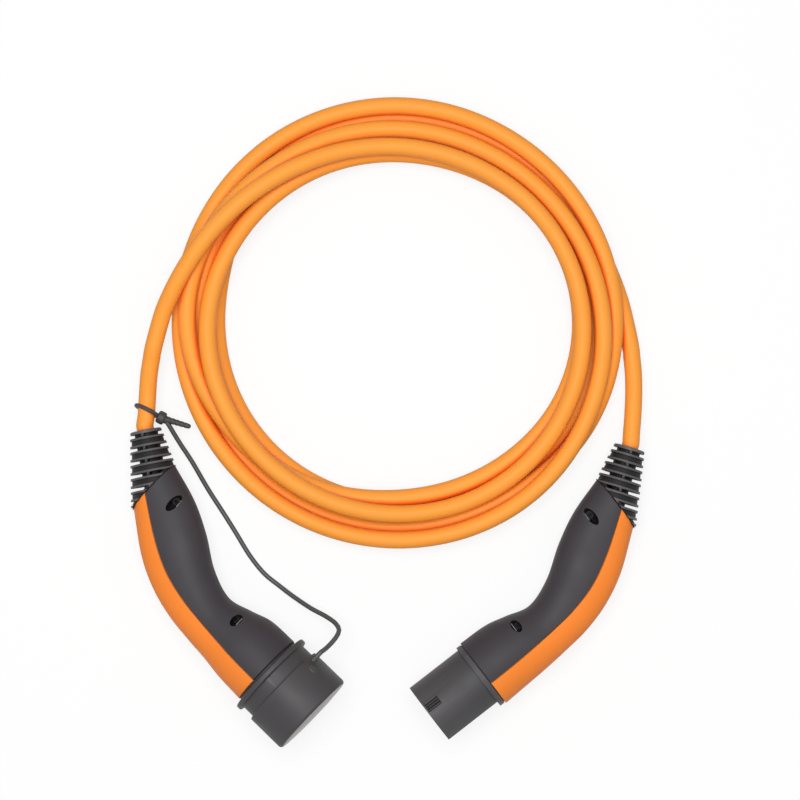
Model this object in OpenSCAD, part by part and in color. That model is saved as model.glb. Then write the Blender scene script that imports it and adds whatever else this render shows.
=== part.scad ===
// Electric car charging cable with two handles, lying on the floor with its cable coiled.
// The station end wears its dust cap, and the vehicle end shows its bare nose.
// Each handle is drawn in its own frame: X from the nose towards the cable, Y towards the
// hollow side of the bend, Z up from the parting plane, with X = 0 at the nose's collar.

/* [Cable] */
// Outer diameter of the charging cable
cable_d = 14.6; // [13:0.1:15.4]
// Outer radius of the coil
coil_outer_r = 190; // [180:1:200]
// Turns that lie side by side in the coil's bottom row
coil_turns = 3; // [2:1:4]
// Distance between neighbouring turns, as a share of the cable diameter
turn_pitch = 0.98; // [0.95:0.01:1.1]

/* [Handle] */
// Length of the handle shells along the nose axis
handle_len = 174; // [165:1:185]
// Radius of the vehicle handle at its front
vehicle_front_r = 31.1; // [30:0.1:33]
// Radius of the station handle at its front
station_front_r = 32.6; // [32:0.1:34]
// Half of the grip's thickness across the bend plane
grip_half_t = 21.5; // [20.5:0.1:24]
// Half of the thickness at the rear of the shells
rear_half_t = 20; // [19:0.1:22]
// Height of the hollow side at the wrist
wrist_y = 20.8; // [18:0.1:24]
// Height of the hollow side at the rear
rear_inner_y = 69.5; // [68:0.1:72]
// Height of the back at the rear
rear_outer_y = 19.5; // [17:0.1:21]
// Wall of the handle shells
shell_wall = 3.2; // [2.6:0.1:3.6]
// Thickness of the coloured back strip
strip_t = 2.2; // [1.6:0.1:2.6]
// Wall of the shells under the back strip
back_wall = 2; // [1.4:0.1:2.6]
// Thickness of the shells' rear wall
rear_wall = 4; // [3:0.1:6]

/* [Boot] */
// Angle of the cable exit from the nose axis
boot_angle = 35.5; // [32:0.5:38]
// Length of the boot behind the shells, on its axis
boot_len = 47.5; // [44:0.5:60]
// Radius of the boot's end ring
boot_end_r = 13.3; // [12:0.1:15]
// Growth of the boot's radius for each millimetre towards the shells
boot_taper = 0.175; // [0.15:0.005:0.19]
// Distance from one boot band to the next
band_pitch = 10.9; // [10.5:0.1:11.5]
// Width of each boot band
band_w = 7.9; // [7:0.1:8.4]
// Width of the raised rims on each band
rim_w = 1.9; // [1:0.1:2.6]
// Depth of the channel between the rims
rim_h = 1.3; // [0.5:0.1:2]
// Width of the boot's end ring
end_ring_w = 2.6; // [2:0.1:4]
// Wall of the boot around the cable
boot_wall = 2.6; // [2:0.1:3]
// Width of the bridges that join the bands
bridge_w = 2.4; // [1.6:0.1:4]

/* [Vehicle nose] */
// Diameter of the vehicle connector's nose
nose_d = 55.5; // [55:0.1:56]
// Distance from the nose axis to its flat
nose_flat = 24.5; // [24:0.1:25.5]
// Length of the nose in front of its collar
nose_len = 52; // [48:0.5:58]
// Wall of the nose
nose_wall = 2.9; // [2.4:0.1:3.4]
// Radius of the vehicle connector's collar
nose_collar_r = 30.1; // [29:0.1:30.6]
// Length of the lock pocket in the nose
lock_len = 13; // [10:0.5:15]
// Width of the lock pocket
lock_w = 8.3; // [6:0.1:9]
// Height of the lock pocket's floor over the nose axis
lock_floor_z = 23.4; // [23.2:0.1:24]

/* [Station shroud] */
// Outer diameter of the station plug's shroud
shroud_d = 63; // [62.6:0.1:63.4]
// Distance from the shroud axis to its outer flat
shroud_flat = 28; // [27.6:0.1:28.6]
// Depth of the shroud in front of its collar
shroud_len = 46; // [42:0.5:50]
// Wall of the shroud
shroud_wall = 3.2; // [2.8:0.1:3.4]
// Radius of the station plug's collar
shroud_collar_r = 32; // [31.8:0.1:32.6]

/* [Contacts] */
// Diameter of the power pins
power_d = 6; // [5.5:0.1:6.3]
// Diameter of the signal pins
signal_d = 3; // [2.6:0.1:3.4]
// Distance between the power contacts in a row
power_pitch = 17; // [16.6:0.1:17.4]
// Drop from the middle row to the lower power row
power_drop = 14.7; // [14:0.1:15.2]
// Distance between the two signal contacts
signal_pitch = 19; // [17:0.1:20]
// Rise from the middle row to the signal contacts
signal_rise = 13.5; // [12.5:0.1:14]
// Distance from the shroud's mouth back to the pin tips
pin_recess = 5.3; // [3:0.1:8]

/* [Dust cap] */
// Wall of the dust cap around the shroud
cap_wall = 3.1; // [2.4:0.1:4]
// Extra radius of the cap's thick front part
cap_step = 2.9; // [1.5:0.1:4]
// Length of the cap's thick front part
cap_front_len = 35.1; // [30:0.1:38]
// Extra radius of the cap's rim over its thin part
cap_rim = 3.6; // [3:0.1:4.6]
// Width of the cap's rim
cap_rim_w = 4.6; // [3:0.1:6]
// Thickness of the cap's end wall
cap_end = 4; // [3:0.1:6]
// Crown of the cap's end face
cap_crown = 1.2; // [0.6:0.1:2.5]
// Diameter of the cap's tether
tether_d = 4; // [3:0.1:4.6]

/* [Screws] */
// Diameter of the screw wells in the shells
well_d = 8.2; // [7.6:0.1:8.6]
// Diameter of the shell screws' heads
head_d = 6.8; // [6:0.1:7.2]
// Diameter of the shell screws
screw_d = 3.5; // [3:0.1:3.8]
// Height of the floor of the screw wells over the parting plane
well_floor = 9; // [7:0.1:11]

/* [Layout] */
// Heading of the vehicle handle on the floor, from nose to cable
vehicle_heading = 37.5; // [30:0.5:45]
// Nose-up tilt of the vehicle handle
vehicle_tilt = 3.1; // [2.8:0.1:3.4]
// Heading of the station handle on the floor, from nose to cable
station_heading = 136.5; // [130:0.5:140]
// Nose-up tilt of the capped station handle
station_tilt = 6.7; // [6:0.1:7]
// Roll of the station handle onto its back strip
station_roll = 5; // [3:0.5:7]

/* [Hidden] */

// Running and seating gaps
fit = 0.3;
slip = 0.15;
cable_r = cable_d / 2;

// Faces along the handle's X axis: the collar, its gasket and the shells
collar_rear_x = 3.2;
gasket_t = 0.8;
shell_x = collar_rear_x + gasket_t;
rear_x = shell_x + handle_len;
nose_collar_x = -1;
shroud_collar_x = 1.8;
spigot_len = 12;
spigot_gap = 0.8;
contact_rear_x = 14;

// Sections of the handle: share of its length, hollow side, back, strip edge,
// half thickness and roundness of the section, where 2 is an ellipse
function grip_rows(front_r) = [
    [0, front_r, -front_r, -7.1, front_r, 2],
    [0.15, front_r - 0.9, -front_r + 1.2, -6.8, front_r - 1.2, 2],
    [0.253, 26, -29, -6.1, 27.5, 2.1],
    [0.374, wrist_y, -27.3, -5, 23.5, 2.2],
    [0.517, 29.3, -24.5, -2.5, grip_half_t, 2.2],
    [0.667, 46.5, -17.4, 4.2, grip_half_t, 2.2],
    [0.816, 59.6, -4.5, 17.7, grip_half_t, 2.2],
    [1, rear_inner_y, rear_outer_y, 39.4, rear_half_t, 2.1]
];

// Smooth curve through one column of the rows
function row_below(rows, f) = max([for (i = [0 : len(rows) - 2]) if (f >= rows[i][0]) i]);
function row_slope(rows, column, i) =
    let (a = rows[max(i - 1, 0)], b = rows[min(i + 1, len(rows) - 1)])
    (b[column] - a[column]) / (b[0] - a[0]);
function along(rows, column, f) =
    let (
        i = row_below(rows, f),
        span = rows[i + 1][0] - rows[i][0],
        u = (f - rows[i][0]) / span,
        rise_a = row_slope(rows, column, i) * span,
        rise_b = row_slope(rows, column, i + 1) * span
    )
    rows[i][column] * (2 * pow(u, 3) - 3 * u * u + 1) + rise_a * (pow(u, 3) - 2 * u * u + u)
    + rows[i + 1][column] * (3 * u * u - 2 * pow(u, 3)) + rise_b * (pow(u, 3) - u * u);

function signed_power(v, p) = sign(v) * pow(abs(v), p);

// One section: x, centre height, half height, half thickness, roundness, strip edge angle
function section(front_r, f) =
    let (
        rows = grip_rows(front_r),
        inner_y = along(rows, 1, f),
        outer_y = along(rows, 2, f),
        mid_y = (inner_y + outer_y) / 2,
        half_y = (inner_y - outer_y) / 2,
        roundness = along(rows, 5, f),
        edge = (along(rows, 3, f) - mid_y) / half_y
    )
    [shell_x + f * handle_len, mid_y, half_y, along(rows, 4, f), roundness,
        acos(signed_power(edge, roundness / 2))];
function skin(s, angle, inset) = [
    s[0],
    s[1] + (s[2] - inset) * signed_power(cos(angle), 2 / s[4]),
    (s[3] - inset) * signed_power(sin(angle), 2 / s[4])
];
// Height of the inset skin over the parting plane, at a height y of the section
function skin_z(s, y, inset) =
    (s[3] - inset) * pow(1 - pow(abs(y - s[1]) / (s[2] - inset), s[4]), 1 / s[4]);

// Steps along the handle and around its half sections
handle_steps = 17;
side_steps = 8;
back_steps = 5;
strip_steps = 12;
strip_recess = strip_t + fit;

function half_loop(s) = concat(
    [for (i = [0 : side_steps]) skin(s, s[5] * i / side_steps, 0)],
    [for (i = [0 : back_steps]) skin(s, s[5] + (180 - s[5]) * i / back_steps, strip_recess)],
    [for (i = [back_steps : -1 : 0])
        skin(s, s[5] + (180 - s[5]) * i / back_steps, strip_recess + back_wall)],
    [for (i = [side_steps : -1 : 0]) skin(s, s[5] * i / side_steps, shell_wall)]
);
strip_gap_angle = 0.6;
function strip_angle(s, i) =
    let (start = s[5] + strip_gap_angle)
    start + (360 - 2 * start) * i / strip_steps;
function strip_loop(s) = concat(
    [for (i = [0 : strip_steps]) skin(s, strip_angle(s, i), 0)],
    [for (i = [strip_steps : -1 : 0]) skin(s, strip_angle(s, i), strip_t)]
);
wall_steps = 13;
function wall_loop(s) =
    [for (i = [0 : wall_steps]) skin(s, 180 * i / wall_steps, strip_recess + back_wall / 4)];

// Closed solid through a row of closed loops, each with an even number of points
module loft(loops) {
    n = len(loops[0]);
    last = (len(loops) - 1) * n;
    sides = [for (k = [0 : len(loops) - 2], i = [0 : n - 1])
        let (a = k * n + i, b = k * n + (i + 1) % n)
        each [[a, b + n, b], [a, a + n, b + n]]];
    caps = [for (i = [0 : n / 2 - 2])
        let (a = i, b = i + 1, c = n - 2 - i, d = n - 1 - i)
        each [[a, b, c], [a, c, d], [last + a, last + c, last + b],
            [last + a, last + d, last + c]]];
    polyhedron([for (l = loops) each l], concat(sides, caps), convexity = 8);
}

// Smooth route through a list of points, with a number of steps between neighbours
function tangent(p, i) = (p[min(i + 1, len(p) - 1)] - p[max(i - 1, 0)]) / 2;
function route(p, steps) = concat(
    [for (i = [0 : len(p) - 2], k = [0 : steps - 1])
        let (u = k / steps, t0 = tangent(p, i), t1 = tangent(p, i + 1))
        p[i] * (2 * pow(u, 3) - 3 * u * u + 1) + t0 * (pow(u, 3) - 2 * u * u + u)
        + p[i + 1] * (3 * u * u - 2 * pow(u, 3)) + t1 * (pow(u, 3) - u * u)],
    [p[len(p) - 1]]
);
function unit(v) = v / norm(v);
// Tube of a given radius along a route that is never upright
module tube(points, r, sides) {
    loft([for (i = [0 : len(points) - 1])
        let (
            t = unit(tangent(points, i)),
            u = unit(cross([0, 0, 1], t)),
            v = cross(t, u)
        )
        [for (k = [0 : sides - 1])
            points[i] + r * (u * cos(360 * k / sides) + v * sin(360 * k / sides))]]);
}

// Places of the seven contacts in the face: Y, Z, and 1 for a power contact
contact_places = [
    [0, power_pitch, 1], [power_drop, power_pitch / 2, 1], [power_drop, -power_pitch / 2, 1],
    [0, -power_pitch, 1], [0, 0, 1], [-signal_rise, signal_pitch / 2, 0],
    [-signal_rise, -signal_pitch / 2, 0]
];
L1 = 0;
L2 = 1;
L3 = 2;
N = 3;
PE = 4;
CP = 5;
PP = 6;
function contact_r(i) = contact_places[i][2] == 1 ? power_d / 2 : signal_d / 2;
sleeve_wall = 1.5;
function sleeve_r(i) = contact_r(i) + sleeve_wall;
shoulder_extra = 0.9;
function shoulder_r(i) = sleeve_r(i) + shoulder_extra;
shoulder_t = 3;
function barrel_r(i) = contact_r(i) + 1;

// Axis of the boot: it leaves the rear wall a little above the section's middle
boot_rise = 2;
boot_y = (rear_inner_y + rear_outer_y) / 2 + boot_rise;
function boot_r(s) = boot_end_r + boot_taper * (boot_len - s);
band_gap = band_pitch - band_w;
first_band_s = boot_len - end_ring_w - band_gap;
// How far a band's channel floor stands behind the handle's rear end, on the boot's long side
function band_reach(s) = s * cos(boot_angle) + (boot_r(s) - rim_h) * sin(boot_angle);
bands = len([for (s = [first_band_s : -band_pitch : -boot_len]) if (band_reach(s) > fit) s]);
core_r = cable_r + boot_wall;
boot_rear_s = first_band_s - bands * band_pitch;
neck_r = cable_r + boot_wall + slip;
neck_collar_r = neck_r + 2.4;
neck_collar_t = 4;
neck_collar_s = -28;
clamp_s = -41;
clamp_len = 12;
sheath_end_s = -43;
clamp_screw_n = cable_r + 3.7;
clamp_half_n = clamp_screw_n + 3.5;
clamp_h = 10;
function boot_point(s, n, z) = [
    rear_x + s * cos(boot_angle) - n * sin(boot_angle),
    boot_y + s * sin(boot_angle) + n * cos(boot_angle),
    z
];
module on_boot_axis(s = 0)
    translate([rear_x, boot_y, 0]) rotate([0, 0, boot_angle]) translate([s, 0, 0]) children();

// Places of the handles on the floor, with the lift that lets each just touch it
origin = [-0.4193, 2.2654, 0];
vehicle_xy = [76.3 - origin[0], -72.8 - origin[1]];
station_xy = [-97.4 - origin[0], -69.9 - origin[1]];
function rolled(p, roll) = p[1] * sin(roll) + p[2] * cos(roll);
function lowest(front_r, tilt, roll) = min([
    for (i = [0 : handle_steps], a = [180 : 10 : 360])
        let (p = skin(section(front_r, i / handle_steps), a, 0))
        rolled(p, roll) * cos(tilt) - p[0] * sin(tilt),
    for (s = [-14 : 0.25 : 10], n = [4 : -0.5 : -20])
        let (p = boot_point(s, n, -sqrt(pow(boot_r(s), 2) - n * n)))
        if (p[0] > rear_x + fit) rolled(p, roll) * cos(tilt) - p[0] * sin(tilt)
]);
cap_inner_r = shroud_d / 2 + slip + 0.25;
cap_thin_r = cap_inner_r + cap_wall;
cap_rim_r = cap_thin_r + cap_rim;
cap_front_r = cap_thin_r + cap_step;
cap_rear_x = shroud_collar_x - fit;
vehicle_lift = -lowest(vehicle_front_r, vehicle_tilt, 0);
station_lift = max(
    -lowest(station_front_r, station_tilt, station_roll),
    cap_rim_r * cos(station_tilt) + cap_rear_x * sin(station_tilt)
);
module at_vehicle()
    translate([vehicle_xy[0], vehicle_xy[1], vehicle_lift]) rotate([0, 0, vehicle_heading])
    rotate([0, vehicle_tilt, 0]) children();
module at_station()
    translate([station_xy[0], station_xy[1], station_lift]) rotate([0, 0, station_heading])
    rotate([0, station_tilt, 0]) mirror([0, 1, 0]) rotate([station_roll, 0, 0]) children();
function placed(points) = [for (p = points) p - origin];
function turned(p, heading) = [
    p[0] * cos(heading) - p[1] * sin(heading), p[0] * sin(heading) + p[1] * cos(heading), p[2]
];
function tilted(p, tilt) = [
    p[0] * cos(tilt) + p[2] * sin(tilt), p[1], p[2] * cos(tilt) - p[0] * sin(tilt)
];
function from_vehicle(p) =
    turned(tilted(p, vehicle_tilt), vehicle_heading)
    + [vehicle_xy[0], vehicle_xy[1], vehicle_lift];
function from_station(p) =
    let (q = [p[0], -p[1] * cos(station_roll) + p[2] * sin(station_roll),
        rolled(p, station_roll)])
    turned(tilted(q, station_tilt), station_heading)
    + [station_xy[0], station_xy[1], station_lift];

// Solids along the handle's X axis
module rod(x0, x1, r) translate([x0, 0, 0]) rotate([0, 90, 0]) cylinder(h = x1 - x0, r = r, $fn = 96);
module d_rod(x0, x1, r, flat) difference() {
    rod(x0, x1, r);
    translate([x0 - 1, -flat - r, -r]) cube([x1 - x0 + 2, r, 2 * r]);
}
module at_contact(i) translate([0, contact_places[i][0], contact_places[i][1]]) children();

// Screws of the shells: share of the handle's length and reach of the well towards the back
shell_screw_f = [0.27, 0.865];
shell_screw_u = 0.62;
well_reach = [3, 5];
function shell_screw_at(front_r, i) =
    let (s = section(front_r, shell_screw_f[i])) [s[0], s[1] + shell_screw_u * s[2]];
boss_wall = 1.9;
post_r = screw_d / 2 + 2.4;
boss_root = 1.9;
post_root = 4;
function wall_z(front_r, p, root = boss_root) =
    let (s = section(front_r, (p[0] - shell_x) / handle_len)) skin_z(s, p[1], root);

module half_shell(front_r) {
    loft([for (i = [0 : handle_steps]) half_loop(section(front_r, i / handle_steps))]);
    loft([wall_loop(section(front_r, 1 - rear_wall / handle_len)),
        wall_loop(section(front_r, 1))]);
}
module neck_hole() on_boot_axis(-2 * neck_r) rod(0, 4 * neck_r, neck_r + fit);

module shell_upper(front_r) color("#464346") difference() {
    union() {
        half_shell(front_r);
        for (i = [0, 1]) {
            p = shell_screw_at(front_r, i);
            translate([p[0], p[1], 0])
                cylinder(h = wall_z(front_r, p), r = well_d / 2 + boss_wall, $fn = 24);
        }
    }
    neck_hole();
    for (i = [0, 1]) {
        p = shell_screw_at(front_r, i);
        translate([p[0], p[1], well_floor]) {
            cylinder(h = front_r, r = well_d / 2, $fn = 24);
            rotate([well_reach[i] * 6, 0, 0]) cylinder(h = front_r, r = well_d / 2, $fn = 24);
        }
        translate([p[0], p[1], -1]) cylinder(h = well_floor + 2, r = screw_d / 2 + slip, $fn = 16);
    }
}

module shell_lower(front_r) color("#464346") {
    clamp_posts = [for (side = [-1, 1]) boot_point(clamp_s + clamp_len / 2, side * clamp_screw_n, 0)];
    difference() {
        union() {
            mirror([0, 0, 1]) half_shell(front_r);
            for (i = [0, 1]) {
                p = shell_screw_at(front_r, i);
                mirror([0, 0, 1]) translate([p[0], p[1], 0])
                    cylinder(h = wall_z(front_r, p), r = post_r, $fn = 24);
            }
            for (p = clamp_posts)
                translate([p[0], p[1], -wall_z(front_r, p, post_root)])
                    cylinder(h = wall_z(front_r, p, post_root) - clamp_h, r = clamp_post_r, $fn = 24);
        }
        neck_hole();
        for (i = [0, 1]) {
            p = shell_screw_at(front_r, i);
            translate([p[0], p[1], -screw_reach]) cylinder(h = screw_reach + 1, r = screw_d / 2 + slip, $fn = 16);
        }
        for (p = clamp_posts)
            translate([p[0], p[1], -clamp_screw_reach])
                cylinder(h = clamp_screw_reach, r = clamp_screw_r + slip, $fn = 16);
    }
}
screw_reach = 12;
clamp_screw_r = 1.5;
clamp_post_r = 3.2;
clamp_screw_reach = 14;

module back_strip(front_r) color("#f07a28")
    loft([for (i = [0 : handle_steps]) strip_loop(section(front_r, i / handle_steps))]);

module shell_screws(front_r) color("#8c8c90") for (i = [0, 1]) {
    p = shell_screw_at(front_r, i);
    translate([p[0], p[1], 0]) {
        translate([0, 0, 1 - screw_reach]) cylinder(h = well_floor + screw_reach, r = screw_d / 2, $fn = 32);
        difference() {
            translate([0, 0, well_floor + 0.01]) cylinder(h = 2.6, r = head_d / 2, $fn = 48);
            translate([0, 0, well_floor + 1.2]) cylinder(h = 2, r = 1.7, $fn = 6);
        }
    }
}

// Saddles that hold the cable's sheath, and the screws through them
module cord_clamp() color("#5a585c") for (side = [-1, 1]) difference() {
    on_boot_axis(clamp_s)
        translate([0, -clamp_half_n, side > 0 ? slip : -clamp_h])
        cube([clamp_len, 2 * clamp_half_n, clamp_h - slip]);
    on_boot_axis(clamp_s - 1) rod(0, clamp_len + 2, cable_r + 0.05);
    for (n = [-clamp_screw_n, clamp_screw_n])
        translate(boot_point(clamp_s + clamp_len / 2, n, -clamp_h - 1))
            cylinder(h = 2 * clamp_h + 2, r = clamp_screw_r + slip, $fn = 32);
}
module clamp_screws() color("#8c8c90") for (n = [-clamp_screw_n, clamp_screw_n])
    translate(boot_point(clamp_s + clamp_len / 2, n, 0)) {
        translate([0, 0, 1 - clamp_screw_reach])
            cylinder(h = clamp_h + clamp_screw_reach, r = clamp_screw_r, $fn = 32);
        translate([0, 0, clamp_h]) cylinder(h = 1.8, r = 2.6, $fn = 48);
    }

// Bend relief: an end ring and rimmed bands on a core, joined by bridges above and below
function band_outline(k) =
    let (top = first_band_s - k * band_pitch, low = top - band_w, rim = low + rim_w)
    [[core_r, top], [boot_r(top), top], [boot_r(top - rim_w), top - rim_w],
        [boot_r(top - rim_w) - rim_h, top - rim_w],
        if (band_reach(rim) > fit) each
            [[boot_r(rim) - rim_h, rim], [boot_r(rim), rim], [boot_r(low), low]]
        else [boot_r(low) - rim_h, low],
        [core_r, low]];
boot_outline = concat(
    [[cable_r + slip, boot_rear_s], [cable_r + slip, boot_len], [boot_end_r - 0.8, boot_len],
        [boot_end_r, boot_len - 0.8], [boot_end_r, boot_len - end_ring_w],
        [core_r, boot_len - end_ring_w]],
    [for (k = [0 : bands - 1]) each band_outline(k)],
    [[core_r, boot_rear_s]]
);
lip_t = 2.2;
lip_inset = 1.2;
module boot_bands() {
    on_boot_axis() rotate([0, 90, 0]) rotate_extrude($fn = 96) polygon(boot_outline);
    for (k = [0 : bands - 1], side = [-1, 1]) {
        s = first_band_s - k * band_pitch;
        bridge_h = boot_r(s + band_gap) - 0.8 - core_r + 1;
        on_boot_axis(s - 0.5)
            translate([0, -bridge_w / 2, side > 0 ? core_r - 1 : -core_r + 1 - bridge_h])
            cube([band_gap + 1, bridge_w, bridge_h]);
    }
}
module boot(front_r) color("#3f3d40") difference() {
    union() {
        intersection() {
            boot_bands();
            translate([rear_x + fit, -boot_len, -boot_len]) cube([3 * boot_len, 4 * boot_len, 2 * boot_len]);
        }
        translate([rear_x + fit, 0, 0]) rotate([90, 0, 90]) linear_extrude(lip_t)
            polygon([for (i = [0 : 35]) let (p = skin(section(front_r, 1), i * 10, lip_inset)) [p[1], p[2]]]);
        intersection() {
            on_boot_axis(boot_rear_s) rotate([0, 90, 0])
                cylinder(h = boot_len - boot_rear_s, r1 = boot_r(boot_rear_s) - rim_h,
                    r2 = boot_r(boot_len) - rim_h, $fn = 96);
            translate([rear_x + fit, -boot_len, -boot_len]) cube([lip_t, 4 * boot_len, 2 * boot_len]);
        }
        on_boot_axis() rod(neck_collar_s, 10, neck_r);
        on_boot_axis() rod(neck_collar_s, neck_collar_s + neck_collar_t, neck_collar_r);
    }
    on_boot_axis() rod(neck_collar_s - 1, boot_len + 1, cable_r + slip);
}
module cable_end() color("#f28a2e") on_boot_axis() rod(sheath_end_s, boot_len, cable_r);

module front_seal(collar_r, spigot_r) color("#202022") difference() {
    rod(collar_rear_x, shell_x, collar_r - 0.9);
    rod(collar_rear_x - 1, shell_x + 1, spigot_r + fit);
}

// Insulated cores from the cable's end to the rear of each contact
core_wire_r = 2.2;
signal_wire_r = 0.9;
wire_ring_r = 4.6;
wire_starts = [
    [wire_ring_r, 108], [wire_ring_r, 36], [wire_ring_r, -36], [wire_ring_r, -108],
    [wire_ring_r, 180], [1.6, 90], [1.6, -90]
];
wire_gap = 0.5;
// Each wire leaves the sheath along the boot, passes below the front boss and reaches its contact
function wire_points(i) =
    let (
        ring = wire_starts[i][0],
        n = ring * cos(wire_starts[i][1]),
        z = ring * sin(wire_starts[i][1]),
        y1 = contact_places[i][0],
        z1 = contact_places[i][1]
    )
    [
        boot_point(sheath_end_s - wire_gap, n, z),
        boot_point(sheath_end_s - 22, n * 1.1, z * 1.1),
        [100, 0.25 * y1 - 1, z + z1 * 0.3],
        [72, 0.35 * y1 - 9, z1 * 0.7],
        [48, 0.5 * y1 - 7, z1 * 0.85],
        [27, y1, z1],
        [contact_rear_x + wire_gap, y1, z1]
    ];
module inner_wires() color("#7a4a2a") for (i = [L1 : PP])
    tube(route(wire_points(i), 1), i <= PE ? core_wire_r : signal_wire_r, 6);

// Coding resistor between the PP and PE contacts
resistor_x = 9;
module coding_resistor() color("#b9a27c") {
    run = [-signal_rise, -signal_pitch / 2];
    angle = atan2(run[1], run[0]);
    start = barrel_r(PE) + slip;
    end = norm(run) - barrel_r(PP) - slip;
    translate([resistor_x, 0, 0]) rotate([angle, 0, 0]) rotate([-90, 0, 0]) {
        translate([0, 0, start]) cylinder(h = end - start, r = 0.4, $fn = 24);
        translate([0, 0, (start + end) / 2 - 3]) cylinder(h = 6, r = 1.3, $fn = 32);
    }
}

// Vehicle connector's nose: a wall with a flat, a seat for the socket carrier, a collar and a spigot
nose_r = nose_d / 2;
nose_spigot_r = vehicle_front_r - strip_recess - back_wall - spigot_gap;
spigot_wall = 2.6;
socket_seat_x = -10;
lock_x = -nose_len + 1.3;
lock_y = 4.7;
lock_pad = 1.6;
lock_ribs = 3;
lock_rib_w = 1;
lock_rib_h = 1.4;
module lock_box(grow, z0) translate([lock_x - grow, lock_y - grow, z0])
    cube([lock_len + 2 * grow, lock_w + 2 * grow, nose_r]);
module vehicle_nose() color("#454346") {
    difference() {
        union() {
            difference() {
                union() {
                    d_rod(-nose_len, 0, nose_r, nose_flat);
                    rod(nose_collar_x, collar_rear_x, nose_collar_r);
                    rod(0, shell_x + spigot_len, nose_spigot_r);
                }
                d_rod(-nose_len - 1, socket_seat_x, nose_r - nose_wall, nose_flat - nose_wall);
            }
            intersection() {
                lock_box(lock_pad, lock_floor_z - lock_pad);
                rod(-nose_len, 0, nose_r - nose_wall / 2);
            }
        }
        rod(socket_seat_x - 1, shell_x + spigot_len + 1, nose_spigot_r - spigot_wall);
        lock_box(0, lock_floor_z);
    }
    for (k = [1 : lock_ribs])
        translate([lock_x - 0.5, lock_y + k * lock_w / (lock_ribs + 1) - lock_rib_w / 2, lock_floor_z - 0.5])
        cube([lock_len + 1, lock_rib_w, lock_rib_h + 0.5]);
}

// Socket carrier: a chamber for each contact, with a funnel in front of its socket and a bore behind it
face_recess = 1.5;
socket_front_x = -nose_len + face_recess;
funnel_t = 2.2;
socket_clear = 0.35;
chamber_gap = 0.1;
function chamber_y(i) =
    contact_places[i][0] < 0 ? [-nose_r, -signal_rise / 2] :
    contact_places[i][0] > 0 ? [power_drop / 2, nose_r] : [-signal_rise / 2, power_drop / 2];
function chamber_z(i) =
    contact_places[i][0] != 0 ? (contact_places[i][1] > 0 ? [0, nose_r] : [-nose_r, 0]) :
    contact_places[i][1] > 0 ? [power_pitch / 2, nose_r] :
    contact_places[i][1] < 0 ? [-nose_r, -power_pitch / 2] : [-power_pitch / 2, power_pitch / 2];
module chamber_box(i)
    translate([-nose_len, chamber_y(i)[0] + chamber_gap / 2, chamber_z(i)[0] + chamber_gap / 2])
    cube([nose_len, chamber_y(i)[1] - chamber_y(i)[0] - chamber_gap,
        chamber_z(i)[1] - chamber_z(i)[0] - chamber_gap]);
module socket_carrier() color("#3a383b") for (i = [L1 : PP]) difference() {
    intersection() {
        d_rod(socket_front_x, socket_seat_x, nose_r - nose_wall - slip, nose_flat - nose_wall - slip);
        chamber_box(i);
    }
    at_contact(i) {
        rod(socket_front_x - 1, socket_seat_x + 1, contact_r(i) + socket_clear);
        rod(socket_front_x + funnel_t, socket_seat_x + 1, sleeve_r(i) + slip);
        translate([socket_front_x - 0.01, 0, 0]) rotate([0, 90, 0])
            cylinder(h = 1.2, r1 = contact_r(i) + 1.6, r2 = contact_r(i) + socket_clear, $fn = 64);
    }
    lock_box(lock_pad + fit, lock_floor_z - lock_pad - fit);
}
module socket(i) color("#b9bbc0") at_contact(i) difference() {
    union() {
        rod(socket_front_x + funnel_t + 0.1, socket_seat_x, sleeve_r(i));
        rod(socket_seat_x, socket_seat_x + shoulder_t, shoulder_r(i));
        rod(socket_seat_x, contact_rear_x, barrel_r(i));
    }
    rod(socket_front_x, socket_seat_x - 4, contact_r(i) + 0.05);
}

// Station plug's shroud: an open cup with a flat, a seat for the pin carrier, a collar and a spigot
shroud_r = shroud_d / 2;
shroud_mouth_x = shroud_collar_x - shroud_len;
shroud_spigot_r = station_front_r - strip_recess - back_wall - spigot_gap;
pin_seat_x = -6;
pin_carrier_t = 6;
module station_shroud() color("#454346") difference() {
    union() {
        d_rod(shroud_mouth_x, shroud_collar_x, shroud_r, shroud_flat);
        rod(shroud_collar_x, collar_rear_x, shroud_collar_r);
        rod(shroud_collar_x, shell_x + spigot_len, shroud_spigot_r);
    }
    d_rod(shroud_mouth_x - 1, pin_seat_x, shroud_r - shroud_wall, shroud_flat - shroud_wall);
    rod(pin_seat_x - 1, shell_x + spigot_len + 1, shroud_spigot_r - spigot_wall);
}
pin_front_x = shroud_mouth_x + pin_recess;
pin_boss_extra = 2.8;
pin_boss_h = 4;
pin_root_extra = 0.4;
pin_root_x = pin_seat_x - pin_carrier_t - pin_boss_h;
module pin_carrier() color("#3a383b") difference() {
    union() {
        d_rod(pin_seat_x - pin_carrier_t, pin_seat_x, shroud_r - shroud_wall - slip,
            shroud_flat - shroud_wall - slip);
        for (i = [L1 : PP]) at_contact(i)
            rod(pin_root_x, pin_seat_x - 1, contact_r(i) + pin_boss_extra);
    }
    for (i = [L1 : PP]) at_contact(i)
        rod(pin_root_x - 1, pin_seat_x + 1, contact_r(i) + pin_root_extra + slip);
}
tip_len = 2;
module pin(i) color("#b9bbc0") at_contact(i) {
    rod(pin_front_x + tip_len, pin_seat_x, contact_r(i));
    rod(pin_root_x, pin_seat_x + 1, contact_r(i) + pin_root_extra);
    translate([pin_front_x, 0, 0]) rotate([0, 90, 0])
        cylinder(h = tip_len, r1 = contact_r(i) * 0.55, r2 = contact_r(i), $fn = 64);
    rod(pin_seat_x, pin_seat_x + shoulder_t, shoulder_r(i));
    rod(pin_seat_x, contact_rear_x, barrel_r(i));
}

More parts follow.
